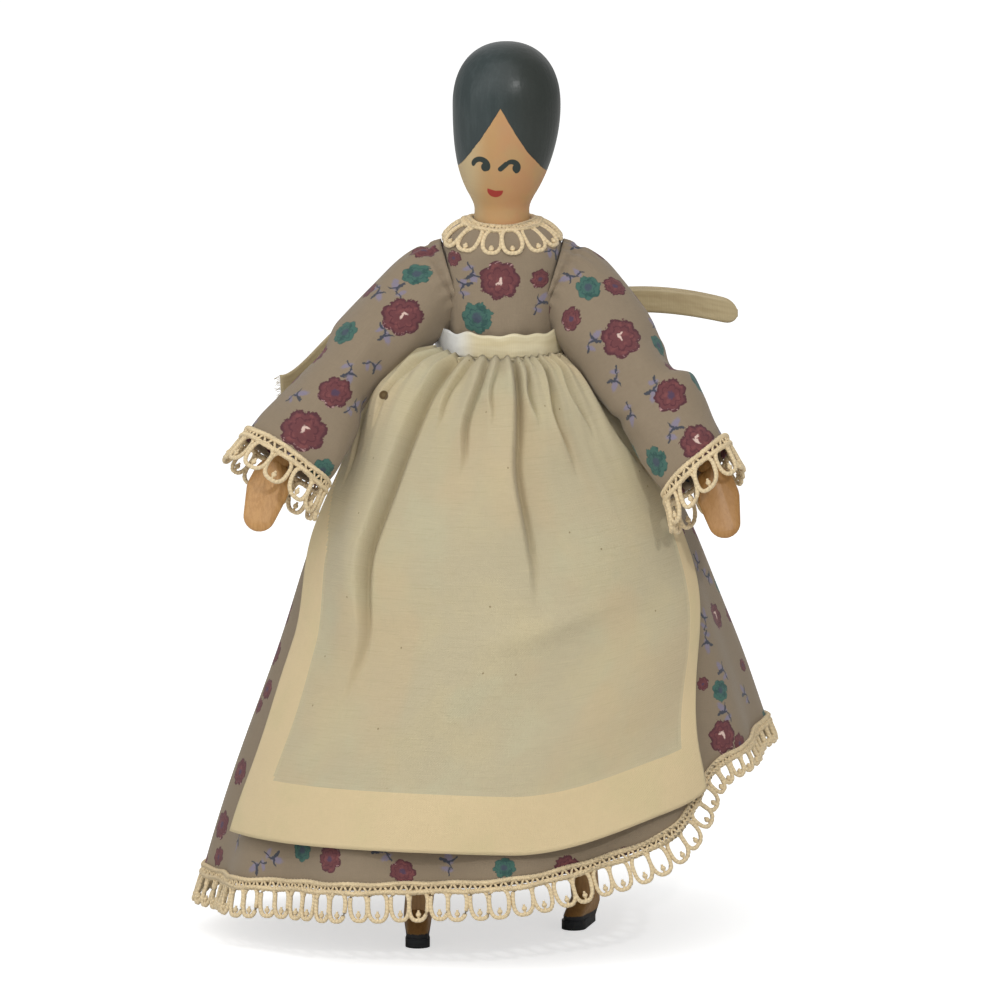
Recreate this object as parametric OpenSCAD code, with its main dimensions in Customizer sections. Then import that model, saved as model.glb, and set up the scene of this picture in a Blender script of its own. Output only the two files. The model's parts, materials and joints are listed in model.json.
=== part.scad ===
// Peg wooden doll in a calico dress with an apron, standing and facing -Y.
// Left and right are the doll's own sides, so the doll's left is +X.

/* [Head] */
// Width of the head
head_w = 28; // [24:0.5:34]
// Height of the crown above the widest line
crown_h = 17; // [13:0.5:24]
// Depth of the jaw curve below the widest line
jaw_h = 29.5; // [24:0.5:36]
// Width of the neck
neck_w = 14.2; // [12:0.2:15]

/* [Torso] */
// Sideways place of the body over the hem's middle
body_x = 3.5; // [-6:0.5:6]
// Height of the hip peg above the floor
hip_h = 130; // [124:1:140]
// Rise from the hip peg to the waist
waist_rise = 26; // [24:0.5:34]
// Rise from the waist to the shoulder peg
shoulder_rise = 18; // [16:0.5:24]
// Rise from the shoulder peg to the neck
neck_rise = 18.8; // [17:0.2:26]
// Width of the turned chest
chest_w = 24.4; // [23.6:0.2:25.2]
// Width of the turned waist
waist_w = 21; // [18:0.5:24]
// Width of the turned hips
hips_w = 27; // [24:0.5:29]
// Width of the tongue between the thighs
hip_tongue_w = 13; // [10:0.5:15]

/* [Arms] */
// Distance of each shoulder boss from the middle plane
shoulder_x = 14.6; // [14.4:0.1:15.2]
// Radius of the round shoulder boss
boss_r = 4.8; // [4.2:0.1:5.4]
// Thickness of the shoulder boss
boss_t = 5; // [4:0.1:5.2]
// Length from the shoulder to the elbow
upper_arm_len = 38; // [36:0.5:42]
// Length from the elbow to the wrist
forearm_len = 30; // [28:0.5:34]
// Width of the arm sticks
arm_w = 6.8; // [6:0.1:7.4]
// Width of the wrist
wrist_w = 5; // [4:0.1:6]
// Length of the paddle hand
hand_len = 18; // [14:0.5:22]
// Width of the paddle hand
hand_w = 11; // [8:0.2:12]
// Thickness of the paddle hand
hand_t = 3.6; // [3:0.2:5]
// Outward slope of the doll's right arm
right_arm_splay = 40.5; // [39:0.5:46]
// Outward slope of the doll's left arm
left_arm_splay = 36; // [35:0.5:42]
// Forward swing of the doll's right arm at rest
right_arm_swing = 25; // [20:1:35]
// Forward swing of the doll's left arm at rest
left_arm_swing = 30; // [26:1:40]
// Inward turn of the hands
hand_turn = 24; // [0:1:30]
// Furthest forward bend of the elbows
elbow_bend = 60; // [40:1:60]

/* [Legs] */
// Distance of each thigh from the middle plane
hip_x = 11; // [10.6:0.1:12]
// Radius of the round hip boss
hip_boss_r = 5.6; // [5:0.1:6]
// Thickness of the hip boss
hip_boss_t = 8; // [7:0.1:8.6]
// Width of the leg sticks at the knee
leg_w = 8.2; // [7.4:0.1:9]
// Width of the ankle
ankle_w = 7.4; // [6:0.1:7.8]
// Height of the ankle above the floor
ankle_h = 6; // [5:0.5:9]
// Outward slope of the legs
leg_splay = 5; // [3:0.5:6]
// Forward slope of the right leg and backward slope of the left leg
stride = 5; // [0:0.5:6]
// Share of the leg that is thigh
thigh_share = 0.5; // [0.45:0.01:0.55]
// Length of the foot
foot_len = 17; // [14:0.5:20]
// Width of the foot
foot_w = 6.4; // [5.8:0.2:8]
// Thickness of the flat sole
sole_t = 2.4; // [1.6:0.1:3]
// Inward turn of the doll's left foot
left_toe_turn = 18; // [0:1:30]

/* [Pegs] */
// Diameter of the shoulder peg and the hip peg
body_peg_d = 3.2; // [2.4:0.1:3.6]
// Diameter of the elbow pegs
elbow_peg_d = 1.8; // [1.4:0.1:2.2]
// Diameter of the knee pegs
knee_peg_d = 2.2; // [1.6:0.1:2.8]
// Radial clearance where a peg is fixed
peg_fix_gap = 0.02; // [0.01:0.01:0.05]
// Radial clearance where a limb turns on a peg
peg_run_gap = 0.06; // [0.04:0.01:0.09]
// Side clearance between jointed faces
side_gap = 0.3; // [0.2:0.05:0.4]

/* [Dress] */
// Thickness of the doubled dress cloth
cloth_t = 0.8; // [0.6:0.1:1]
// Half width of the bodice between the armhole seams
bodice_half_w = 15.4; // [15.2:0.1:16]
// Radius of the armholes
armhole_r = 11.5; // [11:0.1:12]
// Half width of the bodice at the waist
bodice_waist_r = 15.4; // [14.6:0.1:16]
// Length of the sleeves from the shoulder peg to the cuff
sleeve_len = 65.5; // [58:0.5:68]
// Half width of the sleeve at the cuff
cuff_half_w = 13.2; // [12:0.1:14]
// Half depth of the sleeve at the cuff
cuff_half_d = 8.4; // [7.6:0.1:10]
// Height of the hem's low side above the floor
hem_h = 16; // [12:0.5:30]
// Extra height of the hem on the doll's left
hem_rise = 34; // [0:1:36]
// Extra height of the hem's front and back over its low side
hem_lift = 5.5; // [0:0.5:8]
// Half width of the skirt at the hem
hem_half_w = 80; // [70:0.5:84]
// Half depth of the skirt at the hem
hem_half_d = 58; // [52:0.5:64]
// Sideways sway of the skirt at the hem
hem_sway = 2; // [0:0.5:5]
// Depth of the skirt's folds at the hem
skirt_fold = 3; // [0:0.2:4]
// Number of folds round the skirt
skirt_folds = 12; // [6:1:14]
// Clearance between cloth and its neighbours
cloth_gap = 0.3; // [0.2:0.05:0.4]

/* [Apron] */
// Thickness of the apron cloth
apron_t = 0.6; // [0.4:0.1:1]
// Height of the apron's bottom edge above the skirt's low hem
apron_lift = 14; // [8:0.5:24]
// Extra height of the apron's rounded corner
apron_corner = 12; // [0:1:14]
// Depth of the gathers below the waistband
gather_fold = 1.8; // [0:0.1:2.4]
// Number of gathers
gathers = 7; // [4:1:10]

/* [Ribbon and lace] */
// Width of the satin ribbon
ribbon_w = 6.4; // [5:0.1:8]
// Thickness of the ribbon
ribbon_t = 0.4; // [0.3:0.05:0.6]
// Reach of the long bow loop on the doll's left
left_loop_len = 58; // [40:1:62]
// Reach of the short bow loop on the doll's right
right_loop_len = 26; // [20:1:32]
// Reach of the ribbon tail on the doll's right
right_tail_len = 57; // [40:1:60]
// Height of the lace
lace_h = 10.6; // [8:0.2:12]
// Thickness of the lace
lace_t = 0.7; // [0.5:0.1:1]
// Number of loops in the hem lace
hem_loops = 72; // [60:1:72]
// Number of loops in each cuff lace
cuff_loops = 12; // [8:1:12]
// Number of loops in the collar lace
collar_loops = 12; // [8:1:12]

/* [Hidden] */
$fn = 64;
hull_fn = 24;
// Overrun of cuts past a surface
over = 1;
// Step used to find a surface's slope
tiny = 0.05;

head_r = head_w / 2;
neck_r = neck_w / 2;
chest_r = chest_w / 2;
waist_z = hip_h + waist_rise;
shoulder_z = waist_z + shoulder_rise;
neck_z = shoulder_z + neck_rise;
jaw_turn = acos(neck_r / head_r);
head_mid_z = neck_z + jaw_h * sin(jaw_turn);
skirt_top = waist_z - ribbon_w / 2;
seam_x = bodice_half_w + cloth_gap;
skirt_waist_r = bodice_waist_r + cloth_gap + cloth_t;
ribbon_r = skirt_waist_r + cloth_gap;
thigh_top_z = hip_h + hip_boss_r + 2 * side_gap;
torso_end_z = hip_h - 1.6 * hip_boss_r;
knee_w = leg_w;
leg_len = (hip_h - ankle_h) / (cos(leg_splay) * cos(stride));
thigh_len = leg_len * thigh_share;
shin_len = leg_len - thigh_len;
elbow_r = arm_w / 2;
knee_r = knee_w / 2;
// Share of a joint's width that is the tongue
tongue_share = 0.36;
// Share of a joint's radius that its tongue keeps
tongue_r_share = 0.94;
sleeve_r = armhole_r;
ball_r = 0.94 * armhole_r;
cup_r = ball_r - cloth_t - cloth_gap;
ball_leave = 90 - elbow_bend / 2;
// Angles by which the lower sleeve's ball runs past the arm behind and stops short of it in front
ball_lap_back = 34;
ball_lap_front = 14;
// Upward slope of the bow loops
loop_rise = 4;

function splay(s) = s < 0 ? right_arm_splay : left_arm_splay;
function swing(s) = s < 0 ? right_arm_swing : left_arm_swing;
function step_angle(s) = s < 0 ? -stride : stride;
function smooth(x) = let(t = min(1, max(0, x))) t * t * (3 - 2 * t);
function mix(a, b, t) = a + (b - a) * t;
function unit(v) = v / norm(v);
function tri2(a, b, c, d) = [[a, b, c], [a, c, d]];
function foot_x(s) = s * (hip_x + leg_len * sin(leg_splay));
function foot_y(s) = leg_len * cos(leg_splay) * sin(step_angle(s));

// Cloth surface of the skirt, by azimuth and height; azimuth -90 is the front
function drop(a, z) = max(0, (skirt_top - z) / (skirt_top - hem_h));
function hem_z(a) = hem_h + hem_lift * (1 - pow((1 - cos(a)) / 2, 6))
    + hem_rise * pow((1 + cos(a)) / 2, 4);
function flare_w(d) = skirt_waist_r + (hem_half_w - skirt_waist_r) * pow(d, 0.6);
function flare_d(d) = skirt_waist_r + (hem_half_d - skirt_waist_r) * pow(d, 0.66);
function skirt_wave(a, d) = -skirt_fold * min(1, d) * (1 - cos(skirt_folds * a + 40 * sin(2 * a))) / 2;
function skirt_point(a, z, wave = 1, out = 0) =
    let(d = drop(a, z), w = out + wave * skirt_wave(a, d))
    [body_x + hem_sway * d + (flare_w(d) + w) * cos(a), (flare_d(d) + w) * sin(a), z];
function skirt_slope(a, z, wave) = unit(cross(
    skirt_point(a + 1, z, wave) - skirt_point(a - 1, z, wave),
    skirt_point(a, z + tiny, wave) - skirt_point(a, z - tiny, wave)));

// Closed shell of triangles from two rings of points with the same layout
function ring_quads(n, rows, base, flip) = [
    for (r = [0:rows - 2], c = [0:n - 1])
        let(a = base + r * n + c, b = base + r * n + (c + 1) % n)
        each flip ? tri2(a, b, b + n, a + n) : tri2(a, a + n, b + n, b)];
function ring_rim(n, r, base, flip) = [
    for (c = [0:n - 1])
        let(a = r * n + c, b = r * n + (c + 1) % n)
        each flip ? tri2(a, b, b + base, a + base) : tri2(a, a + base, b + base, b)];
module ring_shell(outer, inner, n, rows) {
    base = n * rows;
    polyhedron(
        points = concat(outer, inner),
        faces = concat(
            ring_quads(n, rows, 0, true),
            ring_quads(n, rows, base, false),
            ring_rim(n, 0, base, false),
            ring_rim(n, rows - 1, base, true)));
}

// Lace strip closed into a ring: three columns and four rows of points for each loop
function lace_grid(n, base, flip) = [
    for (c = [0:3 * n - 1])
        let(a = base + 4 * c, b = base + 4 * ((c + 1) % (3 * n)))
        for (r = [0:2])
            if (r != 1 || c % 3 == 0)
                each flip ? tri2(a + r, b + r, b + r + 1, a + r + 1)
                    : tri2(a + r, a + r + 1, b + r + 1, b + r)];
function lace_edges(n, base) = [
    for (c = [0:3 * n - 1])
        let(a = 4 * c, b = 4 * ((c + 1) % (3 * n)))
        each concat(
            tri2(a, a + base, b + base, b),
            tri2(a + 3, b + 3, b + 3 + base, a + 3 + base),
            c % 3 == 0 ? [] : tri2(a + 1, b + 1, b + 1 + base, a + 1 + base),
            c % 3 == 0 ? [] : tri2(a + 2, a + 2 + base, b + 2 + base, b + 2),
            c % 3 == 0 ? tri2(a + 1, a + 2, a + 2 + base, a + 1 + base) : [],
            c % 3 == 1 ? tri2(a + 1, a + 1 + base, a + 2 + base, a + 2) : [])];
// Shares of one loop's width at which its columns stand
lace_column_share = [-0.13, 0.13, 0.5];
// Shares of the lace's height at which its rows lie, for a post and for mid loop
post_row_share = [0, 0.28, 0.72, 0.82];
loop_row_share = [0, 0.28, 0.66, 1];
function lace_share(c, r) = c % 3 == 2 ? loop_row_share[r] : post_row_share[r];
module lace_ring(outer, inner, n) {
    base = 12 * n;
    polyhedron(
        points = concat(outer, inner),
        faces = concat(lace_grid(n, 0, true), lace_grid(n, base, false), lace_edges(n, base)));
}
function lace_azimuth(c, n) = (floor(c / 3) + lace_column_share[c % 3]) * 360 / n;

// Frames of the limbs, with the limb hanging along -Z from its first joint
module at_body() {
    translate([body_x, 0, 0]) children();
}
module at_arm(s) {
    translate([body_x + s * shoulder_x, 0, shoulder_z])
        rotate([-swing(s), 0, 0]) rotate([0, -s * splay(s), 0]) children();
}
module at_elbow(s) {
    at_arm(s) translate([0, 0, -upper_arm_len]) children();
}
module at_leg(s) {
    translate([body_x + s * hip_x, 0, hip_h])
        rotate([step_angle(s), 0, 0]) rotate([0, -s * leg_splay, 0]) children();
}
module at_knee(s) {
    at_leg(s) translate([0, 0, -thigh_len]) children();
}
module across(r, w) {
    rotate([0, 90, 0]) cylinder(r = r, h = w, center = true);
}
// Stick that ends in a slotted fork at its lower joint
module fork_stick(r_top, r, len, peg_r) {
    tongue = 2 * r * tongue_share;
    difference() {
        union() {
            translate([0, 0, -len]) cylinder(r1 = r, r2 = r_top, h = len);
            translate([0, 0, -len]) across(r, 2 * r);
        }
        translate([-tongue / 2 - side_gap, -2 * r, -len - 2 * r])
            cube([tongue + 2 * side_gap, 4 * r, 3.3 * r]);
        translate([0, 0, -len]) across(peg_r + peg_fix_gap, 4 * r);
    }
}
// Stick whose upper end is a tongue that turns in a fork
module tongue_stick(r, r_end, len, peg_r) {
    tongue = 2 * r * tongue_share;
    root = r + side_gap;
    difference() {
        union() {
            across(r * tongue_r_share, tongue);
            translate([-tongue / 2, -r * tongue_r_share, -root - side_gap])
                cube([tongue, 2 * r * tongue_r_share, root + side_gap]);
            translate([0, 0, -len]) cylinder(r1 = r_end, r2 = r, h = len - root);
        }
        across(peg_r + peg_run_gap, 4 * r);
    }
}

// Points along one curve of the head's outline
function head_arc(h, from, to, n) = [
    for (i = [0:n]) let(a = mix(from, to, i / n)) [head_r * cos(a), head_mid_z + h * sin(a)]];
module turned_body() {
    rotate_extrude() polygon(concat(
        [[0, torso_end_z], [0.36 * hips_w, torso_end_z]],
        [[0.46 * hips_w, hip_h - 0.8 * hip_boss_r], [0.5 * hips_w, hip_h + 0.25 * waist_rise]],
        [[0.46 * hips_w, mix(hip_h, waist_z, 0.62)], [waist_w / 2, waist_z]],
        [[0.94 * chest_r, mix(waist_z, shoulder_z, 0.5)], [chest_r, shoulder_z]],
        [[0.94 * chest_r, mix(shoulder_z, neck_z, 0.26)], [0.75 * chest_r, mix(shoulder_z, neck_z, 0.46)]],
        [[1.08 * neck_r, mix(shoulder_z, neck_z, 0.62)], [neck_r, mix(shoulder_z, neck_z, 0.8)]],
        head_arc(jaw_h, -jaw_turn, 0, 12),
        [for (p = head_arc(crown_h, 0, 90, 10)) if (p[1] > head_mid_z) [max(0, p[0]), p[1]]]));
}
// Head and body turned in one piece, flat at the shoulders and cut to a tongue at the hips
module head_and_torso() {
    color("burlywood") at_body() difference() {
        turned_body();
        for (s = [-1, 1]) {
            translate([s * (shoulder_x - boss_t / 2 - side_gap + hips_w / 2), 0, shoulder_z])
                cube([hips_w, 2 * hips_w, 2.6 * boss_r], center = true);
            translate([s * (hip_tongue_w / 2 + hips_w / 2), 0, thigh_top_z - hips_w])
                cube([hips_w, 2 * hips_w, 2 * hips_w], center = true);
        }
        translate([0, 0, shoulder_z]) across(body_peg_d / 2 + peg_fix_gap, 2 * hips_w);
        translate([0, 0, hip_h]) across(body_peg_d / 2 + peg_fix_gap, 2 * hips_w);
    }
}
module shoulder_peg() {
    color("tan") at_body() translate([0, 0, shoulder_z])
        across(body_peg_d / 2, 2 * shoulder_x + boss_t);
}
module hip_peg() {
    color("tan") at_body() translate([0, 0, hip_h])
        across(body_peg_d / 2, 2 * hip_x + hip_boss_t);
}

module upper_arm(s) {
    color("burlywood") difference() {
        union() {
            translate([body_x + s * shoulder_x, 0, shoulder_z]) across(boss_r, boss_t);
            intersection() {
                at_arm(s) fork_stick(elbow_r, elbow_r, upper_arm_len, elbow_peg_d / 2);
                translate([body_x + s * (shoulder_x - boss_t / 2 + hip_h / 2), 0, shoulder_z])
                    cube([hip_h, hip_h, hip_h], center = true);
            }
        }
        translate([body_x + s * shoulder_x, 0, shoulder_z])
            across(body_peg_d / 2 + peg_run_gap, 2 * boss_t);
    }
}
module elbow_peg(s) {
    color("tan") at_elbow(s) across(elbow_peg_d / 2, arm_w);
}
module forearm(s) {
    color("burlywood") at_elbow(s) {
        tongue_stick(elbow_r, wrist_w / 2, forearm_len, elbow_peg_d / 2);
        translate([0, 0, -forearm_len]) rotate([0, s * hand_turn, 0]) hull() {
            sphere(d = 1.12 * wrist_w, $fn = hull_fn);
            translate([0, 0, -0.16 * hand_len])
                scale([1, hand_t / hand_w, 1]) sphere(d = 0.88 * hand_w, $fn = hull_fn);
            translate([0, 0, -0.36 * hand_len])
                scale([1, hand_t / hand_w, 1]) sphere(d = hand_w, $fn = hull_fn);
            translate([0, 0, 0.38 * hand_w - hand_len])
                scale([1, hand_t / hand_w, 1]) sphere(d = 0.76 * hand_w, $fn = hull_fn);
        }
    }
}

module thigh(s) {
    color("burlywood") difference() {
        union() {
            translate([body_x + s * hip_x, 0, hip_h]) across(hip_boss_r, hip_boss_t);
            intersection() {
                at_leg(s) fork_stick(0.92 * knee_r, knee_r, thigh_len, knee_peg_d / 2);
                translate([body_x + s * (hip_x - hip_boss_t / 2 + hip_h / 2), 0, hip_h / 2])
                    cube([hip_h, hip_h, 2 * hip_h], center = true);
            }
        }
        translate([body_x + s * hip_x, 0, hip_h])
            across(body_peg_d / 2 + peg_run_gap, 2 * hip_boss_t);
    }
}
module knee_peg(s) {
    color("tan") at_knee(s) across(knee_peg_d / 2, knee_w);
}
// Flat sole outline with a narrow heel and a wide toe
module sole() {
    heel_r = 0.4 * foot_w;
    toe_r = foot_w / 2;
    toe_y = -(foot_len - toe_r - ankle_w / 2);
    linear_extrude(sole_t) {
        circle(r = heel_r);
        translate([0, toe_y]) circle(r = toe_r);
        polygon([[-heel_r, 0], [-toe_r, toe_y], [toe_r, toe_y], [heel_r, 0]]);
    }
}
module lower_leg(s) {
    toe_r = foot_w / 2;
    color("burlywood") {
        at_knee(s) tongue_stick(knee_r, ankle_w / 2, shin_len, knee_peg_d / 2);
        translate([body_x + foot_x(s), foot_y(s), 0]) rotate([0, 0, s > 0 ? -left_toe_turn : 0]) {
            sole();
            hull() {
                translate([0, 0, ankle_h]) sphere(d = ankle_w, $fn = hull_fn);
                translate([0, 0, sole_t / 2]) cylinder(r = 0.38 * foot_w, h = sole_t, $fn = hull_fn);
                translate([0, toe_r + ankle_w / 2 - foot_len, sole_t / 2])
                    cylinder(r = 0.85 * toe_r, h = sole_t, $fn = hull_fn);
            }
        }
    }
}

// Bodice: a straight body with short armhole stubs and a round neckline
module bodice_form(inset) {
    r = bodice_waist_r - inset;
    top = mix(shoulder_z, neck_z, 0.76);
    rotate_extrude() polygon([
        [0, waist_z - inset], [r, waist_z - inset], [r, mix(waist_z, shoulder_z, 0.5)],
        [0.96 * r, shoulder_z], [0.87 * r, mix(shoulder_z, neck_z, 0.4)],
        [0.6 * r, mix(shoulder_z, neck_z, 0.68) - inset], [0, top - inset]]);
    translate([0, 0, shoulder_z]) across(armhole_r - inset, 2 * bodice_half_w + 2 * inset);
}
module bodice() {
    color("rosybrown") at_body() difference() {
        bodice_form(0);
        bodice_form(cloth_t);
        translate([0, 0, waist_z - over]) cylinder(r = bodice_waist_r - cloth_t, h = 2 * over);
        translate([0, 0, shoulder_z]) cylinder(r = 1.08 * neck_r + cloth_gap, h = neck_rise);
    }
}

// Sleeve above the elbow: a round puff at the armhole, a tube and a ball end
module sleeve_form(s, inset) {
    at_arm(s) {
        sphere(r = sleeve_r - inset);
        translate([0, 0, -upper_arm_len])
            cylinder(r1 = ball_r - inset, r2 = sleeve_r - inset, h = upper_arm_len);
        translate([0, 0, -upper_arm_len]) sphere(r = ball_r - inset);
    }
}
// Space that the sleeve leaves free round the armhole, turned about the shoulder peg
module armhole_room(s) {
    reach = 3 * armhole_r;
    translate([body_x, 0, shoulder_z]) rotate([0, s * 90, 0]) {
        cylinder(r = reach, h = seam_x);
        difference() {
            cylinder(r = reach, h = 2 * seam_x);
            translate([0, 0, seam_x - over]) cylinder(r1 = armhole_r, r2 = reach, h = seam_x + over);
        }
    }
}
module upper_sleeve(s) {
    color("rosybrown") difference() {
        sleeve_form(s, 0);
        sleeve_form(s, cloth_t);
        armhole_room(s);
        at_elbow(s) rotate([-elbow_bend / 2, 0, 0]) translate([0, 0, -2 * ball_r])
            cube(4 * ball_r, center = true);
    }
}
// Sleeve below the elbow: part of a ball inside the upper sleeve, then a flat bell
lower_sleeve_n = 20;
lower_sleeve_rows = 7;
function ball_top(a) = 180 - elbow_bend + mix(ball_lap_back, -ball_lap_front, (1 - sin(a)) / 2);
function lower_sleeve_point(a, r, inset) =
    let(ball_rows = 3,
        polar = mix(ball_top(a), ball_leave, min(1, r / ball_rows)),
        t = max(0, (r - ball_rows) / (lower_sleeve_rows - 1 - ball_rows)),
        neck = cup_r * sin(ball_leave),
        z0 = -cup_r * cos(ball_leave),
        z1 = upper_arm_len - sleeve_len,
        swell = pow(t, 0.7))
    r <= ball_rows
        ? [(cup_r - inset) * sin(polar) * cos(a), (cup_r - inset) * sin(polar) * sin(a),
            -(cup_r - inset) * cos(polar)]
        : [(mix(neck, cuff_half_w, swell) - inset) * cos(a),
            (mix(neck, cuff_half_d, swell) - inset) * sin(a), mix(z0, z1, t)];
module lower_sleeve(s) {
    color("rosybrown") at_elbow(s) ring_shell(
        [for (r = [0:lower_sleeve_rows - 1], c = [0:lower_sleeve_n - 1])
            lower_sleeve_point(-c * 360 / lower_sleeve_n, r, 0)],
        [for (r = [0:lower_sleeve_rows - 1], c = [0:lower_sleeve_n - 1])
            lower_sleeve_point(-c * 360 / lower_sleeve_n, r, cloth_t)],
        lower_sleeve_n, lower_sleeve_rows);
}

// Skirt: a gathered bell with a straight neck under the ribbon
skirt_n = 48;
skirt_rows = 7;
function skirt_row_z(a, r) =
    r == 0 ? waist_z : mix(skirt_top, hem_z(a), pow((r - 1) / (skirt_rows - 2), 1.5));
function skirt_shell(r, c, inset) =
    let(a = -c * 360 / skirt_n, z = skirt_row_z(a, r), p = skirt_point(a, z))
    r < 2 ? p - inset * [cos(a), sin(a), r] : p - inset * skirt_slope(a, z, 1);
module skirt() {
    color("rosybrown") ring_shell(
        [for (r = [0:skirt_rows - 1], c = [0:skirt_n - 1]) skirt_shell(r, c, 0)],
        [for (r = [0:skirt_rows - 1], c = [0:skirt_n - 1]) skirt_shell(r, c, cloth_t)],
        skirt_n, skirt_rows);
}

// Lace at the hem, the cuffs and the neck
function hem_lace_point(c, r, inset) =
    let(a = -lace_azimuth(c, hem_loops), s = cloth_gap + lace_h * lace_share(c, r),
        w = 0.25 * s - inset + skirt_wave(a, 1))
    skirt_point(a, hem_z(a), 0, w) - [0, 0, s];
module hem_lace() {
    color("wheat") lace_ring(
        [for (c = [0:3 * hem_loops - 1], r = [0:3]) hem_lace_point(c, r, 0)],
        [for (c = [0:3 * hem_loops - 1], r = [0:3]) hem_lace_point(c, r, lace_t)],
        hem_loops);
}
function cuff_lace_point(c, r, inset) =
    let(a = -lace_azimuth(c, cuff_loops), s = lace_h * lace_share(c, r), w = 0.12 * s - inset)
    [(cuff_half_w + w) * cos(a), (cuff_half_d + w) * sin(a),
        upper_arm_len - sleeve_len - cloth_gap - s];
module cuff_lace(s) {
    color("wheat") at_elbow(s) lace_ring(
        [for (c = [0:3 * cuff_loops - 1], r = [0:3]) cuff_lace_point(c, r, 0)],
        [for (c = [0:3 * cuff_loops - 1], r = [0:3]) cuff_lace_point(c, r, lace_t)],
        cuff_loops);
}
// The collar lies on the shoulders and drops more at the front and back
function collar_point(c, r, inset) =
    let(a = -lace_azimuth(c, collar_loops), s = lace_share(c, r),
        in_r = 1.2 * neck_r, out_r = mix(bodice_waist_r, 0.97 * bodice_waist_r, abs(sin(a))),
        fall = mix(0.26 * lace_h, 0.82 * lace_h, pow(abs(sin(a)), 1.5)))
    [mix(in_r, out_r, s) * cos(a), mix(in_r, out_r, s) * sin(a),
        mix(shoulder_z, neck_z, 0.8) - fall * s - inset];
module collar_lace() {
    color("wheat") at_body() lace_ring(
        [for (c = [0:3 * collar_loops - 1], r = [0:3]) collar_point(c, r, -lace_t)],
        [for (c = [0:3 * collar_loops - 1], r = [0:3]) collar_point(c, r, 0)],
        collar_loops);
}

// Apron panel: a gathered sheet that follows the front of the skirt
apron_cols = 25;
apron_rows = 9;
function apron_right_edge(t) = -157 - 6 * smooth(2 * t);
function apron_left_edge(t) = -34 - 13 * smooth((t - 0.3) / 0.55);
function apron_fold(u, t) = gather_fold * pow(1 - t, 1.3) * smooth(4 * t) * smooth(6 * u)
    * smooth(6 * (1 - u)) * (1 - cos(360 * gathers * u)) / 2;
function apron_point(r, c, inset) =
    let(t = pow(r / (apron_rows - 1), 1.35), u = c / (apron_cols - 1),
        edge = apron_left_edge(t), a = mix(apron_right_edge(t), edge, u),
        low = hem_h + apron_lift + apron_corner * smooth((a + 90) / (edge + 90)),
        z = mix(skirt_top - cloth_gap, low, t),
        n = skirt_slope(a, z - tiny, 0))
    skirt_point(a, z, 0) + (cloth_gap + cloth_t / 2 + apron_fold(u, t) + inset) * n;
module apron_panel() {
    n = apron_cols;
    rows = apron_rows;
    base = n * rows;
    color("palegoldenrod") polyhedron(
        points = concat(
            [for (r = [0:rows - 1], c = [0:n - 1]) apron_point(r, c, apron_t)],
            [for (r = [0:rows - 1], c = [0:n - 1]) apron_point(r, c, 0)]),
        faces = concat(
            [for (r = [0:rows - 2], c = [0:n - 2])
                let(a = r * n + c) each tri2(a, a + 1, a + 1 + n, a + n)],
            [for (r = [0:rows - 2], c = [0:n - 2])
                let(a = base + r * n + c) each tri2(a, a + n, a + 1 + n, a + 1)],
            [for (c = [0:n - 2]) each tri2(c, c + base, c + 1 + base, c + 1)],
            [for (c = [0:n - 2])
                let(a = (rows - 1) * n + c) each tri2(a, a + 1, a + 1 + base, a + base)],
            [for (r = [0:rows - 2]) let(a = r * n) each tri2(a, a + n, a + n + base, a + base)],
            [for (r = [0:rows - 2])
                let(a = r * n + n - 1) each tri2(a, a + base, a + n + base, a + n)]));
}

// Satin ribbon round the waist, tied in a bow at the back
knot_d = ribbon_w;
knot_y = ribbon_r + ribbon_t + cloth_gap + knot_d / 2;
module apron_ribbon() {
    color("ivory") at_body() translate([0, 0, waist_z - ribbon_w / 2]) difference() {
        cylinder(r = ribbon_r + ribbon_t, h = ribbon_w);
        translate([0, 0, -over]) cylinder(r = ribbon_r, h = ribbon_w + 2 * over);
    }
}
module ribbon_knot() {
    color("ivory") at_body() translate([0, knot_y, waist_z]) hull() {
        for (z = [-1, 1]) translate([0, 0, z * ribbon_w / 8]) rotate([0, 90, 0])
            cylinder(d = 0.75 * knot_d, h = 0.8 * knot_d, center = true, $fn = hull_fn);
        cube([0.5 * knot_d, knot_d, 0.6 * ribbon_w], center = true);
    }
}
function loop_outline(len, w) = concat(
    [for (i = [0:12]) let(t = i / 12) [len * t, w / 2 * pow(sin(180 * pow(t, 1.4)), 0.7)]],
    [for (i = [11:-1:1]) let(t = i / 12) [len * t, -w / 2 * pow(sin(180 * pow(t, 1.4)), 0.7)]]);
module bow_loop(len, rise, w) {
    rotate([0, -rise, 0]) linear_extrude(ribbon_w, center = true) difference() {
        polygon(loop_outline(len, w));
        translate([2 * ribbon_t, 0]) polygon(loop_outline(len - 3 * ribbon_t, w - 2 * ribbon_t));
    }
}
module ribbon_loop(s) {
    len = s < 0 ? right_loop_len : left_loop_len;
    color("ivory") translate([body_x + s * (0.4 * knot_d + cloth_gap), knot_y, waist_z + 0.3 * ribbon_w])
        mirror([s < 0 ? 1 : 0, 0, 0]) bow_loop(len, loop_rise, 0.9 * ribbon_w);
}
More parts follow.
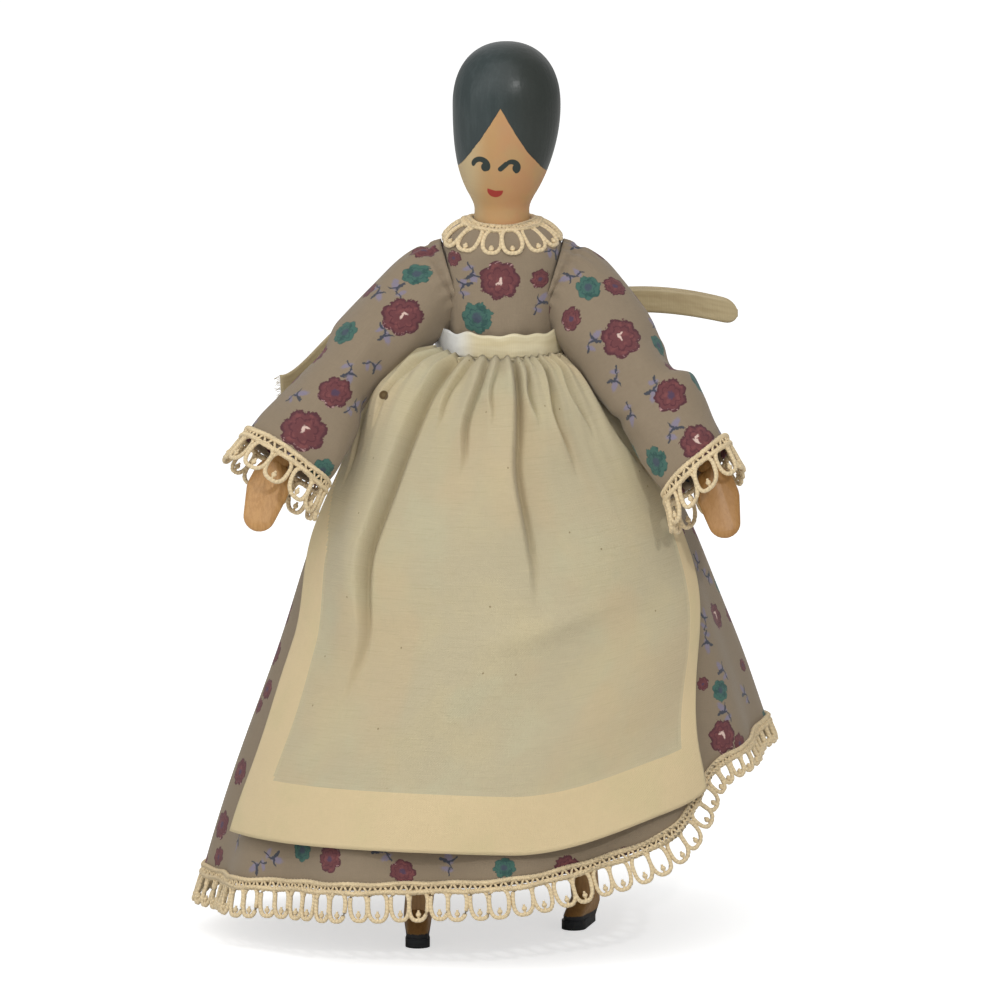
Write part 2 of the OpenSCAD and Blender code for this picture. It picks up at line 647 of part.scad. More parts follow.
// The doll's right tail stands out behind the sleeve; the left one lies on the skirt
function tail_arc(off) = [
    for (i = [0:10]) let(t = i / 10, slope = 44 * t * t)
        [-right_tail_len * t + off * sin(slope), -0.2 * right_tail_len * pow(t, 2.6) + off * cos(slope)]];
module right_ribbon_tail() {
    color("ivory") translate([body_x - knot_d / 2, knot_y + knot_d / 2 + cloth_gap, waist_z])
        rotate([90, 0, 0]) linear_extrude(ribbon_t, center = true)
            polygon(concat(tail_arc(ribbon_w / 2), [for (i = [10:-1:0]) tail_arc(-ribbon_w / 2)[i]]));
}
left_tail_end_z = mix(waist_z, hem_h, 0.42);
function hang_line(off) = [
    for (i = [0:8]) let(z = mix(waist_z - 0.4 * ribbon_w, left_tail_end_z, i / 8))
        [max(flare_d(drop(90, z)), ribbon_r + ribbon_t) + cloth_gap + off, z]];
module left_ribbon_tail() {
    color("ivory") translate([body_x + knot_d / 2 + ribbon_w / 2, 0, 0])
        rotate([90, 0, 90]) linear_extrude(ribbon_w, center = true)
            polygon(concat(hang_line(ribbon_t), [for (i = [8:-1:0]) hang_line(0)[i]]));
}

head_and_torso();
shoulder_peg();
hip_peg();
upper_arm(-1);  // right_upper_arm
elbow_peg(-1);  // right_elbow_peg
forearm(-1);  // right_forearm
upper_arm(1);  // left_upper_arm
elbow_peg(1);  // left_elbow_peg
forearm(1);  // left_forearm
thigh(-1);  // right_thigh
knee_peg(-1);  // right_knee_peg
lower_leg(-1);  // right_lower_leg
thigh(1);  // left_thigh
knee_peg(1);  // left_knee_peg
lower_leg(1);  // left_lower_leg
bodice();
skirt();
upper_sleeve(-1);  // right_upper_sleeve
lower_sleeve(-1);  // right_lower_sleeve
upper_sleeve(1);  // left_upper_sleeve
lower_sleeve(1);  // left_lower_sleeve
collar_lace();
cuff_lace(-1);  // right_cuff_lace
cuff_lace(1);  // left_cuff_lace
hem_lace();
apron_panel();
apron_ribbon();
ribbon_knot();
ribbon_loop(-1);  // right_ribbon_loop
ribbon_loop(1);  // left_ribbon_loop
right_ribbon_tail();
left_ribbon_tail();
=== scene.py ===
"""Looks of the peg wooden doll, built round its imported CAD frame.

Shapes are worked out in millimetres, with Z up and the doll facing -Y, and go into Blender in metres.
Left and right are the doll's own sides, so side -1 is its right, at -X. Azimuth -90 degrees is the front.
"""
import json
import math

import bpy
import numpy as np
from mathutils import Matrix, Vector


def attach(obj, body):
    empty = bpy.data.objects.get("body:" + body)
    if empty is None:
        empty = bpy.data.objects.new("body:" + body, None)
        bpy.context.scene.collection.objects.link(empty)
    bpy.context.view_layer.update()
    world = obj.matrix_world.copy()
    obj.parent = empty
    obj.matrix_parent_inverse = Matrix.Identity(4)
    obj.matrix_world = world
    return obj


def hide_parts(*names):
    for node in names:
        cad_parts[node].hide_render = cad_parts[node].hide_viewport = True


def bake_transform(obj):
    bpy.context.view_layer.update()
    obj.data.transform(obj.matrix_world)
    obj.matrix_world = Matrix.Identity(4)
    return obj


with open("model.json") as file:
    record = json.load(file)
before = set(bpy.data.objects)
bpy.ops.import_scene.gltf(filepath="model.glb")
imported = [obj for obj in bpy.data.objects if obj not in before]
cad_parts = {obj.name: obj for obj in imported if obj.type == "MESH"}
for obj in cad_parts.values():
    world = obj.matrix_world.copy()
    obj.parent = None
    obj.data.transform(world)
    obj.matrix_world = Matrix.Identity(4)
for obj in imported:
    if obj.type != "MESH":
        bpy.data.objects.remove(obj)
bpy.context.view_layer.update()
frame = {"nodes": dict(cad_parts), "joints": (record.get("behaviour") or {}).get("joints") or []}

MM = 0.001
TURN = 2 * math.pi
BACK = math.pi / 2
FRONT = 1.5 * math.pi
SIDES = {"right": -1, "left": 1}
joints = {j["name"]: j for j in frame["joints"]}

# Camera: the photograph's frame and viewing angle
IMAGE_PX = 1000
PX_PER_MM = 3.85
CAMERA_ELEVATION = math.radians(11)
CAMERA_DISTANCE = 6000
AIM = (3.0, 0.0, 114.0)

# Studio: azimuth and elevation in degrees, distance and size in metres, and watts of each lamp
LAMPS = {
    "key": (-16, 50, 1.3, 1.5, 8.6),
    "side": (-62, 22, 1.3, 1.0, 3.0),
    "fill": (50, 20, 1.4, 1.0, 0.6),
    "back": (170, 40, 1.6, 2.0, 4.0),
    "spark": (22, 32, 1.3, 0.06, 3.0),
}
LAMP_AIM = (0, 0, 0.12)
WORLD_STRENGTH = 0.38
FLOOR_HALF = 6000
FLOOR_GLOW = 0.60

# Body, in millimetres, as the CAD source has it but for a crown half a millimetre lower
BODY_X = 3.5
WAIST_Z = 156.0
SHOULDER_Z = 174.0
SHOULDER_X = 14.6
HIP_Z = 130.0
NECK_Z = 192.8
NECK_R = 7.1
HEAD_R = 14.0
CROWN_H = 16.5
JAW_H = 29.5
HEAD_MID_Z = 218.2
HEAD_LEAN = 1.2

# Painted details of the head and the shoes; X counts from the doll's middle
EYES = ((-5.6, 204.1), (2.5, 203.9))
EYE_PAINT = "#2E3733"
MOUTH = (-1.75, 197.4)
MOUTH_HALF_W = 2.05
MOUTH_H = 1.9
HAIR_PEAK_Z = 219.7
HAIR_FALL = 22.4
HAIR_ROUND = 5.8
HAIR_BACK = 3.0
SHOE_TOP = 3.6

# Dress, in millimetres; what the CAD source has too keeps its value
CLOTH_T = 0.8
CLOTH_GAP = 0.3
SHEET_T = 0.5
APRON_T = 0.45
RIBBON_T = 0.3
RIBBON_W = 6.4
RIBBON_R = 16.8
SKIRT_TOP = WAIST_Z - RIBBON_W / 2
WAIST_R = 16.5
HEM_H = 16.0
HEM_RISE = 34.0
HEM_LIFT = 5.5
HEM_HALF_W = 80.0
HEM_HALF_D = 58.0
HEM_SWAY = 2.0
SKIRT_FOLD = 3.0
SKIRT_FOLDS = 12
APRON_LIFT = 14.0
APRON_CORNER = 12.0
APRON_TOP_W = 40
APRON_W = 150
SHOULDER_TOP_Z = 179.5
NECKLINE_Z = 188.2
NECKLINE_R = NECK_R + 0.35
SHOULDER_RUN = 14.3
# At the shoulders and at the waist, and about the mean
BODICE_HALF_W = (15.5, 15.4)
BODICE_HALF_D = (13.0, 15.2)
BODICE_R = 15.0
KNOT_Y = RIBBON_R + 0.4 + CLOTH_GAP + RIBBON_W / 2
SPOT = (-30.6, 145.4)

# Sleeves, in millimetres, and shares of their length
SEAM_X = 15.7
ARMHOLE_R = 11.5
SLEEVE_LEN = 65.5
SLEEVE_HALF_W = 11.8
SLEEVE_HALF_D = 10.6
SLEEVE_R = 11.4
# Where its bend out of the armhole ends: share of its length, and distance from the shoulder
SLEEVE_BEND = 0.36
SLEEVE_BEND_END = 26.0
CUFF_HALF_W = 13.2
CUFF_HALF_D = 8.4
# How far each sleeve's upper part lies out from the arm
SLEEVE_SHIFT = {"right": 0.6, "left": 0.2}
# Its puffs: place, rise and fall along it, and height
SLEEVE_PUFFS = {
    "right": [(0.62, 0.10, 0.15, 0.2)],
    "left": [(0.13, 0.05, 0.10, 0.6), (0.64, 0.035, 0.13, 3.2)],
}
# How the sleeves are taken in on the outer side: from where, over how much of the length and by how much
OUTER_TRIM = {"right": [(0.40, 0.15, 1.8)], "left": [(0.30, 0.15, 2.0), (0.45, 0.10, 1.6), (0.75, 0.25, 2.0)]}
# Where the inner side is let out: place, spread and by how much, below 0 where it is taken in
INNER_TRIM = {"right": [(0.34, 0.13, -1.6), (0.55, 0.16, -4.6)], "left": [(0.34, 0.13, 0.4)]}
# How much further each cuff reaches on the arm's outer side than at its middle
CUFF_SLANT = {"right": 1.5, "left": -1.0}
# How far each cuff's lace turns from the arm's direction towards straight down
CUFF_DROOP = {"right": 0.35, "left": 0.8}

# Lace: depth, radii of its threads and beads, where its open loops start, and the levels of its heading cords
LACE_H = 10.6
COLLAR_LACE_H = 12.4
THREAD_R = 0.60
FINE_THREAD_R = 0.34
BEAD_R = 0.72
LOOP_TOP = 2.3
CORD_LEVELS = (0.35, 2.5)

# The apron's deep folds: how far across they start and end, how far down they reach, width and height
APRON_FOLDS = (
    (0.27, 0.20, 0.72, 6.0, 4.2),
    (0.45, 0.42, 0.24, 3.4, 2.6),
    (0.57, 0.57, 0.50, 5.0, 3.8),
    (0.69, 0.72, 0.24, 3.4, 3.0),
    (0.83, 0.95, 0.34, 4.0, 2.4),
    (0.12, 0.05, 0.30, 4.0, 2.2),
    (0.19, 0.14, 0.18, 2.6, 1.8),
    (0.38, 0.33, 0.16, 2.4, 1.8),
    (0.51, 0.50, 0.14, 2.2, 1.6),
    (0.63, 0.64, 0.15, 2.2, 1.8),
    (0.76, 0.81, 0.18, 2.6, 1.8),
)
# Shares of the apron's width and length that its doubled hems take, and how far they stand out
APRON_RIGHT_HEM = 0.10
APRON_LEFT_HEM = 0.05
APRON_LOW_HEM = 0.125
APRON_HEM_T = 0.28

# Kinds of printed motif
SPRIG, TEAL, BURGUNDY, TICKED = -1, 0, 1, 2
SPRIG_PX = 11
# What the camera sees on each printed piece: place and radius of its flowers in the picture's pixels, and their
# kind, and then the places of its sprigs
PRINT = {
    "bodice": (
        ((499, 280, 20, 2), (477, 318, 16, 0), (445, 317, 8, 1), (539, 280, 10, 1), (455, 259, 9, 1),
         (435, 280, 7, 1), (436, 247, 7, 1), (558, 289, 7, 1)),
        ((469, 274), (467, 289), (539, 305), (552, 255))),
    "right": (
        ((425, 250, 14, 1), (418, 275, 14, 0), (404, 318, 21, 2), (370, 292, 10, 1), (346, 333, 14, 0),
         (315, 352, 12, 1), (336, 393, 17, 1), (305, 430, 22, 2), (323, 472, 14, 0), (253, 437, 8, 1)),
        ((383, 333), (376, 293), (347, 370), (373, 368), (295, 398), (353, 410), (285, 453), (400, 290))),
    "left": (
        ((588, 288, 13, 0), (615, 288, 12, 1), (621, 338, 21, 2), (570, 320, 12, 1), (658, 345, 12, 0),
         (670, 395, 17, 1), (698, 440, 18, 2), (655, 462, 16, 0)),
        ((652, 388), (593, 343), (672, 433), (628, 412), (612, 378), (572, 274))),
    "skirt": (
        ((680, 528, 10, 1), (690, 575, 7, 1), (717, 585, 8, 0), (717, 617, 14, 2), (744, 667, 7, 1),
         (719, 689, 11, 0), (703, 683, 7, 1), (721, 735, 17, 2), (740, 745, 10, 1), (625, 853, 9, 1),
         (567, 863, 12, 1), (505, 867, 10, 0), (402, 868, 12, 1), (332, 855, 14, 1), (304, 850, 12, 0),
         (217, 860, 10, 1), (223, 823, 15, 1), (241, 770, 14, 1), (258, 708, 9, 1), (268, 687, 11, 1)),
        ((695, 562), (708, 575), (703, 620), (708, 640), (722, 672), (745, 697), (725, 712), (274, 852),
         (260, 867), (238, 840), (382, 853), (447, 860))),
}
# What fills the cloth that the picture doesn't show: radius in pixels and kind of the flowers, and then of the
# sprigs, the least gap round each in millimetres, and how many places are tried
PRINT_FILL = (((20, TICKED), (17, BURGUNDY), (13, BURGUNDY), (14, TEAL), (8, BURGUNDY)), ((SPRIG_PX, SPRIG),))
PRINT_GAP = (3.0, 1.0)
PRINT_TRIES = 2500


# Arithmetic
def smooth(x):
    """The smooth step from 0 to 1."""
    t = np.clip(x, 0, 1)
    return t * t * (3 - 2 * t)


def bell(x):
    """A bell curve, 1 at 0."""
    return np.exp(-x ** 2)


def mix(a, b, t):
    return a + (b - a) * t


def unit(v):
    return v / np.linalg.norm(v, axis=-1, keepdims=True)


def spread(*parts):
    """Points, or pairs of numbers, from arrays that are first brought to one shape."""
    return np.stack(np.broadcast_arrays(*parts), -1)


def all_round(count):
    """Azimuths all the way round from the doll's back, with the first one again at the end."""
    return np.linspace(0, TURN, count + 1)[None, :] + BACK


def run_along(points):
    """Length so far along the first axis of an array of points."""
    step = np.linalg.norm(np.diff(points, axis=0), axis=-1)
    return np.concatenate([0 * step[:1], np.cumsum(step, axis=0)])


def ripple(a, b, seed):
    """Smooth uneven ripple from a few sines, about -1 to 1, the same on each run."""
    rng = np.random.default_rng(seed)
    total = 0
    for k in range(5):
        fa, fb = rng.integers(1, 6, 2)
        total = total + np.sin(fa * a + fb * b + rng.uniform(0, TURN)) / (1 + k)
    return total / 1.8


# Node arithmetic, so that a procedural pattern reads as a formula
def plug(tree, value, socket):
    """Links a field or a socket to an input, or sets the input to a plain value."""
    if isinstance(value, Field):
        tree.links.new(value.socket, socket)
    elif isinstance(value, bpy.types.NodeSocket):
        tree.links.new(value, socket)
    else:
        socket.default_value = value


def add_node(tree, kind, inputs, **settings):
    """A new shader node with its settings, and with what its inputs get."""
    node = tree.nodes.new("ShaderNode" + kind)
    for name, value in settings.items():
        setattr(node, name, value)
    for key, value in inputs.items():
        plug(tree, value, node.inputs[key])
    return node


class Field:
    """A number that shader nodes work out at each point."""

    def __init__(self, tree, socket):
        self.tree = tree
        self.socket = socket

    def math(self, operation, *values):
        node = add_node(self.tree, "Math", dict(enumerate(values)), operation=operation)
        return Field(self.tree, node.outputs[0])

    def __rsub__(self, other):
        return self.math("SUBTRACT", other, self)

    def __neg__(self):
        return self.math("MULTIPLY", self, -1.0)

    def rise(self, low, high):
        """0 below low and 1 above high, with a smooth step between; low may be above high."""
        if low > high:
            return 1 - self.rise(high, low)
        inputs = {"Value": self, "From Min": low, "From Max": high}
        node = add_node(self.tree, "MapRange", inputs, interpolation_type="SMOOTHSTEP")
        return Field(self.tree, node.outputs["Result"])


# A field's other operations, each of them one node
for method, operation in {
    "__add__": "ADD", "__radd__": "ADD", "__sub__": "SUBTRACT", "__mul__": "MULTIPLY", "__rmul__": "MULTIPLY",
    "__truediv__": "DIVIDE", "__pow__": "POWER", "__abs__": "ABSOLUTE", "sin": "SINE", "cos": "COSINE",
    "root": "SQRT", "at_least": "MAXIMUM", "at_most": "MINIMUM", "arctan2": "ARCTAN2",
}.items():
    setattr(Field, method, lambda self, *others, operation=operation: self.math(operation, self, *others))


def length(x, y):
    return (x * x + y * y).root()


def turned(x, y, angle):
    """A point turned back by an angle in radians."""
    c, s = math.cos(angle), math.sin(angle)
    return x * c + y * s, y * c - x * s


def ellipse(x, y, cx, cy, rx, ry, soft=0.12):
    """1 inside an ellipse and 0 outside it."""
    return length((x - cx) / rx, (y - cy) / ry).rise(1 + soft, 1 - soft)


def stroke(x, y, cx, cy, radius, start, end, width, soft=0.1, swell=0.0):
    """A painted arc, thin at its ends, from start to end degrees anticlockwise round (cx, cy).

    Swell above 0 makes it wider towards its start.
    """
    dx, dy = x - cx, y - cy
    mid, half = math.radians((start + end) / 2), math.radians((end - start) / 2)
    tx, ty = turned(dx, dy, mid)
    along = ty.arctan2(tx) / half
    taper = (1 - abs(along) ** 6).at_least(0.0).root() * (1 - along * swell)
    inside = (abs(length(dx, dy) - radius) - taper * (width / 2)).rise(soft, -soft)
    return inside * abs(along).rise(1.02, 0.98)


def srgb(code):
    """A colour written as a web code, as the linear numbers that Blender takes."""
    values = [int(code[k:k + 2], 16) / 255 for k in (1, 3, 5)]
    return [v / 12.92 if v < 0.04045 else ((v + 0.055) / 1.055) ** 2.4 for v in values] + [1.0]


class Paint:
    """A material being made: its node tree, its shader and the colour that is worked out for it."""

    def __init__(self, name, roughness, colour, **constants):
        self.material = bpy.data.materials.new(name)
        self.material.use_nodes = True
        self.tree = self.material.node_tree
        self.shader = self.tree.nodes["Principled BSDF"]
        for socket, value in {"Roughness": roughness, **constants}.items():
            self.shader.inputs[socket.replace("_", " ")].default_value = value
        self.colour = self.constant(colour)
        self.height = None

    def node(self, kind, inputs, **settings):
        return add_node(self.tree, kind, inputs, **settings)

    def constant(self, code):
        node = self.node("RGB", {})
        node.outputs[0].default_value = srgb(code)
        return node.outputs[0]

    def split(self, vector):
        return [Field(self.tree, socket) for socket in self.node("SeparateXYZ", {0: vector}).outputs]

    def join(self, x, y, z=0.0):
        return self.node("CombineXYZ", {0: x, 1: y, 2: z}).outputs[0]

    def place(self):
        """Place in the frame, in millimetres, with X counted from the doll's middle."""
        x, y, z = self.split(self.node("TexCoord", {}).outputs["Object"])
        return x * 1000 - BODY_X, y * 1000, z * 1000

    def layer(self, name):
        """The two numbers that a mesh's layer keeps; the place on the cloth, in millimetres, is one such."""
        return self.split(self.node("UVMap", {}, uv_map=name).outputs["UV"])[:2]

    def noise(self, x, y, z=0.0, scale=1.0, detail=3.0, rough=0.55):
        inputs = {"Vector": self.join(x, y, z), "Scale": scale, "Detail": detail, "Roughness": rough}
        return Field(self.tree, self.node("TexNoise", inputs).outputs["Fac"])

    def cells(self, x, y, size):
        """Scattered points: place from the nearest one, in the same units, and a random number."""
        cx, cy = x / size, y / size
        inputs = {"Scale": 1.0, "Randomness": 1.0, "Vector": self.join(cx, cy)}
        node = self.node("TexVoronoi", inputs, voronoi_dimensions="2D")
        px, py, _ = self.split(node.outputs["Position"])
        return (cx - px) * size, (cy - py) * size, self.split(node.outputs["Color"])[0]

    def cover(self, mask, code, kind="MIX"):
        """Lays a colour over what is there, where mask is 1."""
        colour = self.constant(code) if isinstance(code, str) else code
        inputs = {0: mask, 6: self.colour, 7: colour}
        self.colour = self.node("Mix", inputs, data_type="RGBA", blend_type=kind).outputs[2]

    def mottle(self, noise, low, high, share, code):
        """Lays a colour over what is there, up to that share of it, where a noise is above low to high."""
        self.cover(noise.rise(low, high) * share, code)

    def shade(self, factor):
        """Multiplies the colour by a number near 1."""
        self.cover(1.0, self.join(factor, factor, factor), "MULTIPLY")

    def relief(self, height, depth):
        """Adds a bump whose full height is depth millimetres."""
        height = height * (depth * MM)
        self.height = height if self.height is None else self.height + height

    def done(self, roughness=None):
        plug(self.tree, self.colour, self.shader.inputs["Base Color"])
        if roughness is not None:
            plug(self.tree, roughness, self.shader.inputs["Roughness"])
        bump = self.node("Bump", {"Strength": 1.0, "Distance": 1.0, "Height": self.height})
        plug(self.tree, bump.outputs["Normal"], self.shader.inputs["Normal"])
        return self.material


# Materials; lengths in them are in millimetres
def cotton(name, roughness, colour, pitch, depth):
    """Cotton in plain weave, and then the place on it and how thick its uneven threads are there."""
    paint = Paint(name, roughness, colour, Sheen_Weight=0.15, Sheen_Roughness=0.5)
    u, v = paint.layer("cloth")
    wave = TURN / pitch
    slub = paint.noise(u * 0.35, v * 4) + paint.noise(u * 4, v * 0.35, 7.0)
    paint.relief((u * wave).sin() * (v * wave).sin() * 0.5 + slub, depth)
    return paint, u, v, slub


def sprig_masks(x, y):
    """Two leaves and the three strokes of their stem."""
    leaf = ellipse(*turned(x - 1.0, y - 1.6, 0.5), 0.0, 0.0, 1.9, 0.85, 0.35)
    leaf = leaf.at_least(ellipse(*turned(x + 1.1, y + 0.7, -0.7), 0.0, 0.0, 1.4, 0.6, 0.4))
    stem = stroke(x, y, 0.0, -2.2, 2.9, 35, 130, 0.62, 0.12, 0.5)
    stem = stem.at_least(stroke(x, y, 2.5, 2.4, 2.6, 160, 250, 0.55, 0.12, -0.5))
    return leaf, stem.at_least(stroke(x, y, -3.4, 0.6, 2.2, -70, 0, 0.42, 0.12, 0.4))


def calico():
    """Taupe cotton printed with small burgundy and teal flowers, sprigs and leaves."""
    paint, u, v, slub = cotton("calico", 0.85, "#8C7C66", 0.42, 0.05)
    wobble = paint.noise(u, v, scale=0.55, detail=4)
    fine = paint.noise(u, v, 3.0, scale=1.6, detail=3)
    du, dv = (wobble - 0.5) * 1.6, (fine - 0.5) * 1.2

    x, y = paint.layer("sprig")
    leaf, stem = sprig_masks(x + du, y + dv)
    paint.cover(leaf * fine.rise(0.2, 0.45) * 0.8, "#827B93")
    paint.cover(stem * 0.92, "#333A48")

    x, y = paint.layer("flower")
    x, y = x + du, y + dv
    radius, kind = paint.layer("flower_kind")
    red, large = kind.rise(0.4, 0.6), kind.rise(1.4, 1.6)
    angle = y.arctan2(x)
    petal = abs((angle * 3.5).cos())
    edge = radius * (0.84 + petal * 0.16 + (fine - 0.5) * 0.22)
    r = length(x, y)
    share = r / edge
    inside = (r - edge).rise(0.14, -0.14)
    rim = share.rise(0.78, 0.93)
    fold = (abs(share - 0.52 - petal * 0.10)).rise(0.07, 0.02)
    tick = ellipse(x, y, 0.3, -0.3, 0.32, 1.05, 0.3).at_least(ellipse(x, y, -0.35, -1.0, 0.75, 0.28, 0.3))
    glint = rim * (angle.sin()).rise(0.55, 0.8) * fine.rise(0.55, 0.65)
    teal = inside * (1 - red)
    for mask, code in (
        (inside, "#6A383B"),
        (inside * wobble.rise(0.50, 0.62), "#7A4343"),
        (inside * rim * 0.75, "#47222C"),
        (inside * fold * 0.7, "#50242E"),
        (inside * share.rise(0.32, 0.16) * (1 - large) * 0.9, "#4C3A52"),
        (tick * large, "#D8BDB0"),
        (inside * glint * red * 0.8, "#CFA6A2"),
        (teal, "#3F665B"),
        (teal * wobble.rise(0.5, 0.6) * 0.8, "#284B46"),
        (teal * share.rise(0.45, 0.2) * 0.7, "#41405A"),
        (teal * fold * 0.6, "#27434A"),
    ):
        paint.cover(mask, code)
    paint.shade(0.86 + slub * 0.14 + (wobble - 0.5) * 0.10)
    return paint.done()


def brown_spot(paint):
    x, _, z = paint.place()
    spot = length(x - SPOT[0], z - SPOT[1])
    paint.cover(spot.rise(1.3, 1.05), "#5A4424")
    paint.cover(spot.rise(0.6, 0.35) * 0.4, "#8A744C")


def apron_cotton():
    """Unbleached cotton with slubs, flecks, a brown spot and painted shade along the creases."""
    paint, u, v, slub = cotton("apron_cotton", 0.88, "#C0B494", 0.46, 0.07)
    paint.mottle(paint.noise(u, v, 2.0, scale=0.035, detail=4), 0.42, 0.66, 0.6, "#C9BB94")
    paint.mottle(paint.noise(u, v, 9.0, scale=0.05, detail=3), 0.5, 0.7, 0.5, "#C0BA9A")
    paint.mottle(paint.noise(u, v, 13.0, scale=0.03, detail=2), 0.5, 0.65, 0.35, "#CBB28C")
    paint.mottle(paint.noise(u * 0.12, v * 5, 4.0, detail=2), 0.60, 0.72, 0.22, "#A3966F")
    long_slub = paint.noise(u * 0.07, v * 2.4, 8.0, detail=3, rough=0.7)
    paint.mottle(long_slub, 0.54, 0.66, 0.20, "#A79B76")
    paint.mottle(long_slub, 0.42, 0.32, 0.20, "#D8CBA4")
    paint.relief(long_slub, 0.06)
    paint.mottle(paint.noise(u * 5, v * 0.12, 5.0, detail=2), 0.62, 0.74, 0.25, "#B0A47E")
    x, y, chance = paint.cells(u, v, 9.0)
    paint.cover(length(x, y).rise(0.34, 0.2) * chance.rise(0.86, 0.88) * 0.7, "#7A6440")
    brown_spot(paint)
    # Painted shade: darker along the crease beside each fold
    paint.cover(paint.layer("crease")[0] * 0.65, "#857350")
    paint.shade(0.90 + slub * 0.10)
    return paint.done()


def apron_hem_cotton():
    """The same cotton where it is doubled, which looks yellower."""
    paint, u, v, slub = cotton("apron_hem_cotton", 0.88, "#D8C399", 0.46, 0.07)
    paint.mottle(paint.noise(u, v, 6.0, scale=0.06, detail=4), 0.45, 0.68, 0.5, "#CFC093")
    brown_spot(paint)
    paint.shade(0.91 + slub * 0.09)
    return paint.done()


def lace_thread():
    """Ivory cotton thread with its ply."""
    paint = Paint("lace_thread", 0.8, "#E3CDA4", Sheen_Weight=0.2, Sheen_Roughness=0.5)
    u, v = paint.layer("cloth")
    ply = (u * 6.5 + v).sin() * 0.5 + 0.5
    paint.relief(ply, 0.10)
    paint.shade(0.80 + ply * 0.14 + paint.noise(u, v, scale=2.2, detail=3) * 0.16)
    return paint.done()


def satin(name, base, low, roughness, pale=0.0):
    """Satin ribbon in two colours, with fine ribs across it, and a painted highlight that makes it paler
    towards the right arm.
    """
    paint = Paint(name, roughness, base, Sheen_Weight=0.2, Sheen_Roughness=0.3, Coat_Weight=0.08)
    u, v = paint.layer("cloth")
    rib = (u * 14.0).sin() * 0.5 + 0.5
    paint.relief(rib, 0.008)
    paint.relief(paint.noise(u, v, scale=0.25, detail=2), 0.35)
    paint.mottle(paint.noise(u * 0.06, v * 0.4, 2.0, detail=2), 0.4, 0.7, 0.7, low)
    # Painted highlight: bluish-white towards the right arm
    paint.cover(paint.place()[0].rise(-6.0, -13.0) * pale, "#E6E9EC")
    paint.shade(0.94 + rib * 0.06)
    return paint.done()


def bare_wood(name):
    """Varnished light wood with fine grain along the limbs."""
    paint = Paint(name, 0.45, "#BE9058", Coat_Weight=0.15, Coat_Roughness=0.3)
    x, y, z = paint.place()
    grain = paint.noise(x * 1.3, y * 1.3, z * 0.12, scale=1.2, detail=5, rough=0.65)
    fine = paint.noise(x * 5, y * 5, z * 0.25, scale=1.0, detail=3)
    paint.mottle(grain, 0.42, 0.62, 0.8, "#AF8049")
    paint.mottle(fine, 0.55, 0.72, 0.3, "#9C6D38")
    paint.relief(fine, 0.03)
    return paint, (x, y, z), grain


def limb_wood():
    """The same wood, with painted shade making it browner on the doll's left forearm."""
    paint, (x, _, _), _ = bare_wood("limb_wood")
    # Painted shade on the doll's left forearm and hand
    paint.cover(x.rise(40, 46) * 0.5, "#8E6026")
    return paint.done()


def shoe_wood():
    """Lower legs: bare wood with shoes painted black up to a level line."""
    paint, (x, y, z), grain = bare_wood("shoe_wood")
    paint.cover((z + (grain - 0.5) * 0.8).rise(SHOE_TOP + 0.15, SHOE_TOP - 0.15), "#23262A")
    worn = paint.noise(x, y, z, scale=0.9, detail=5).rise(0.62, 0.7)
    paint.cover(worn * z.rise(0.9, 0.2) * 0.7, "#6E5436")
    return paint.done()


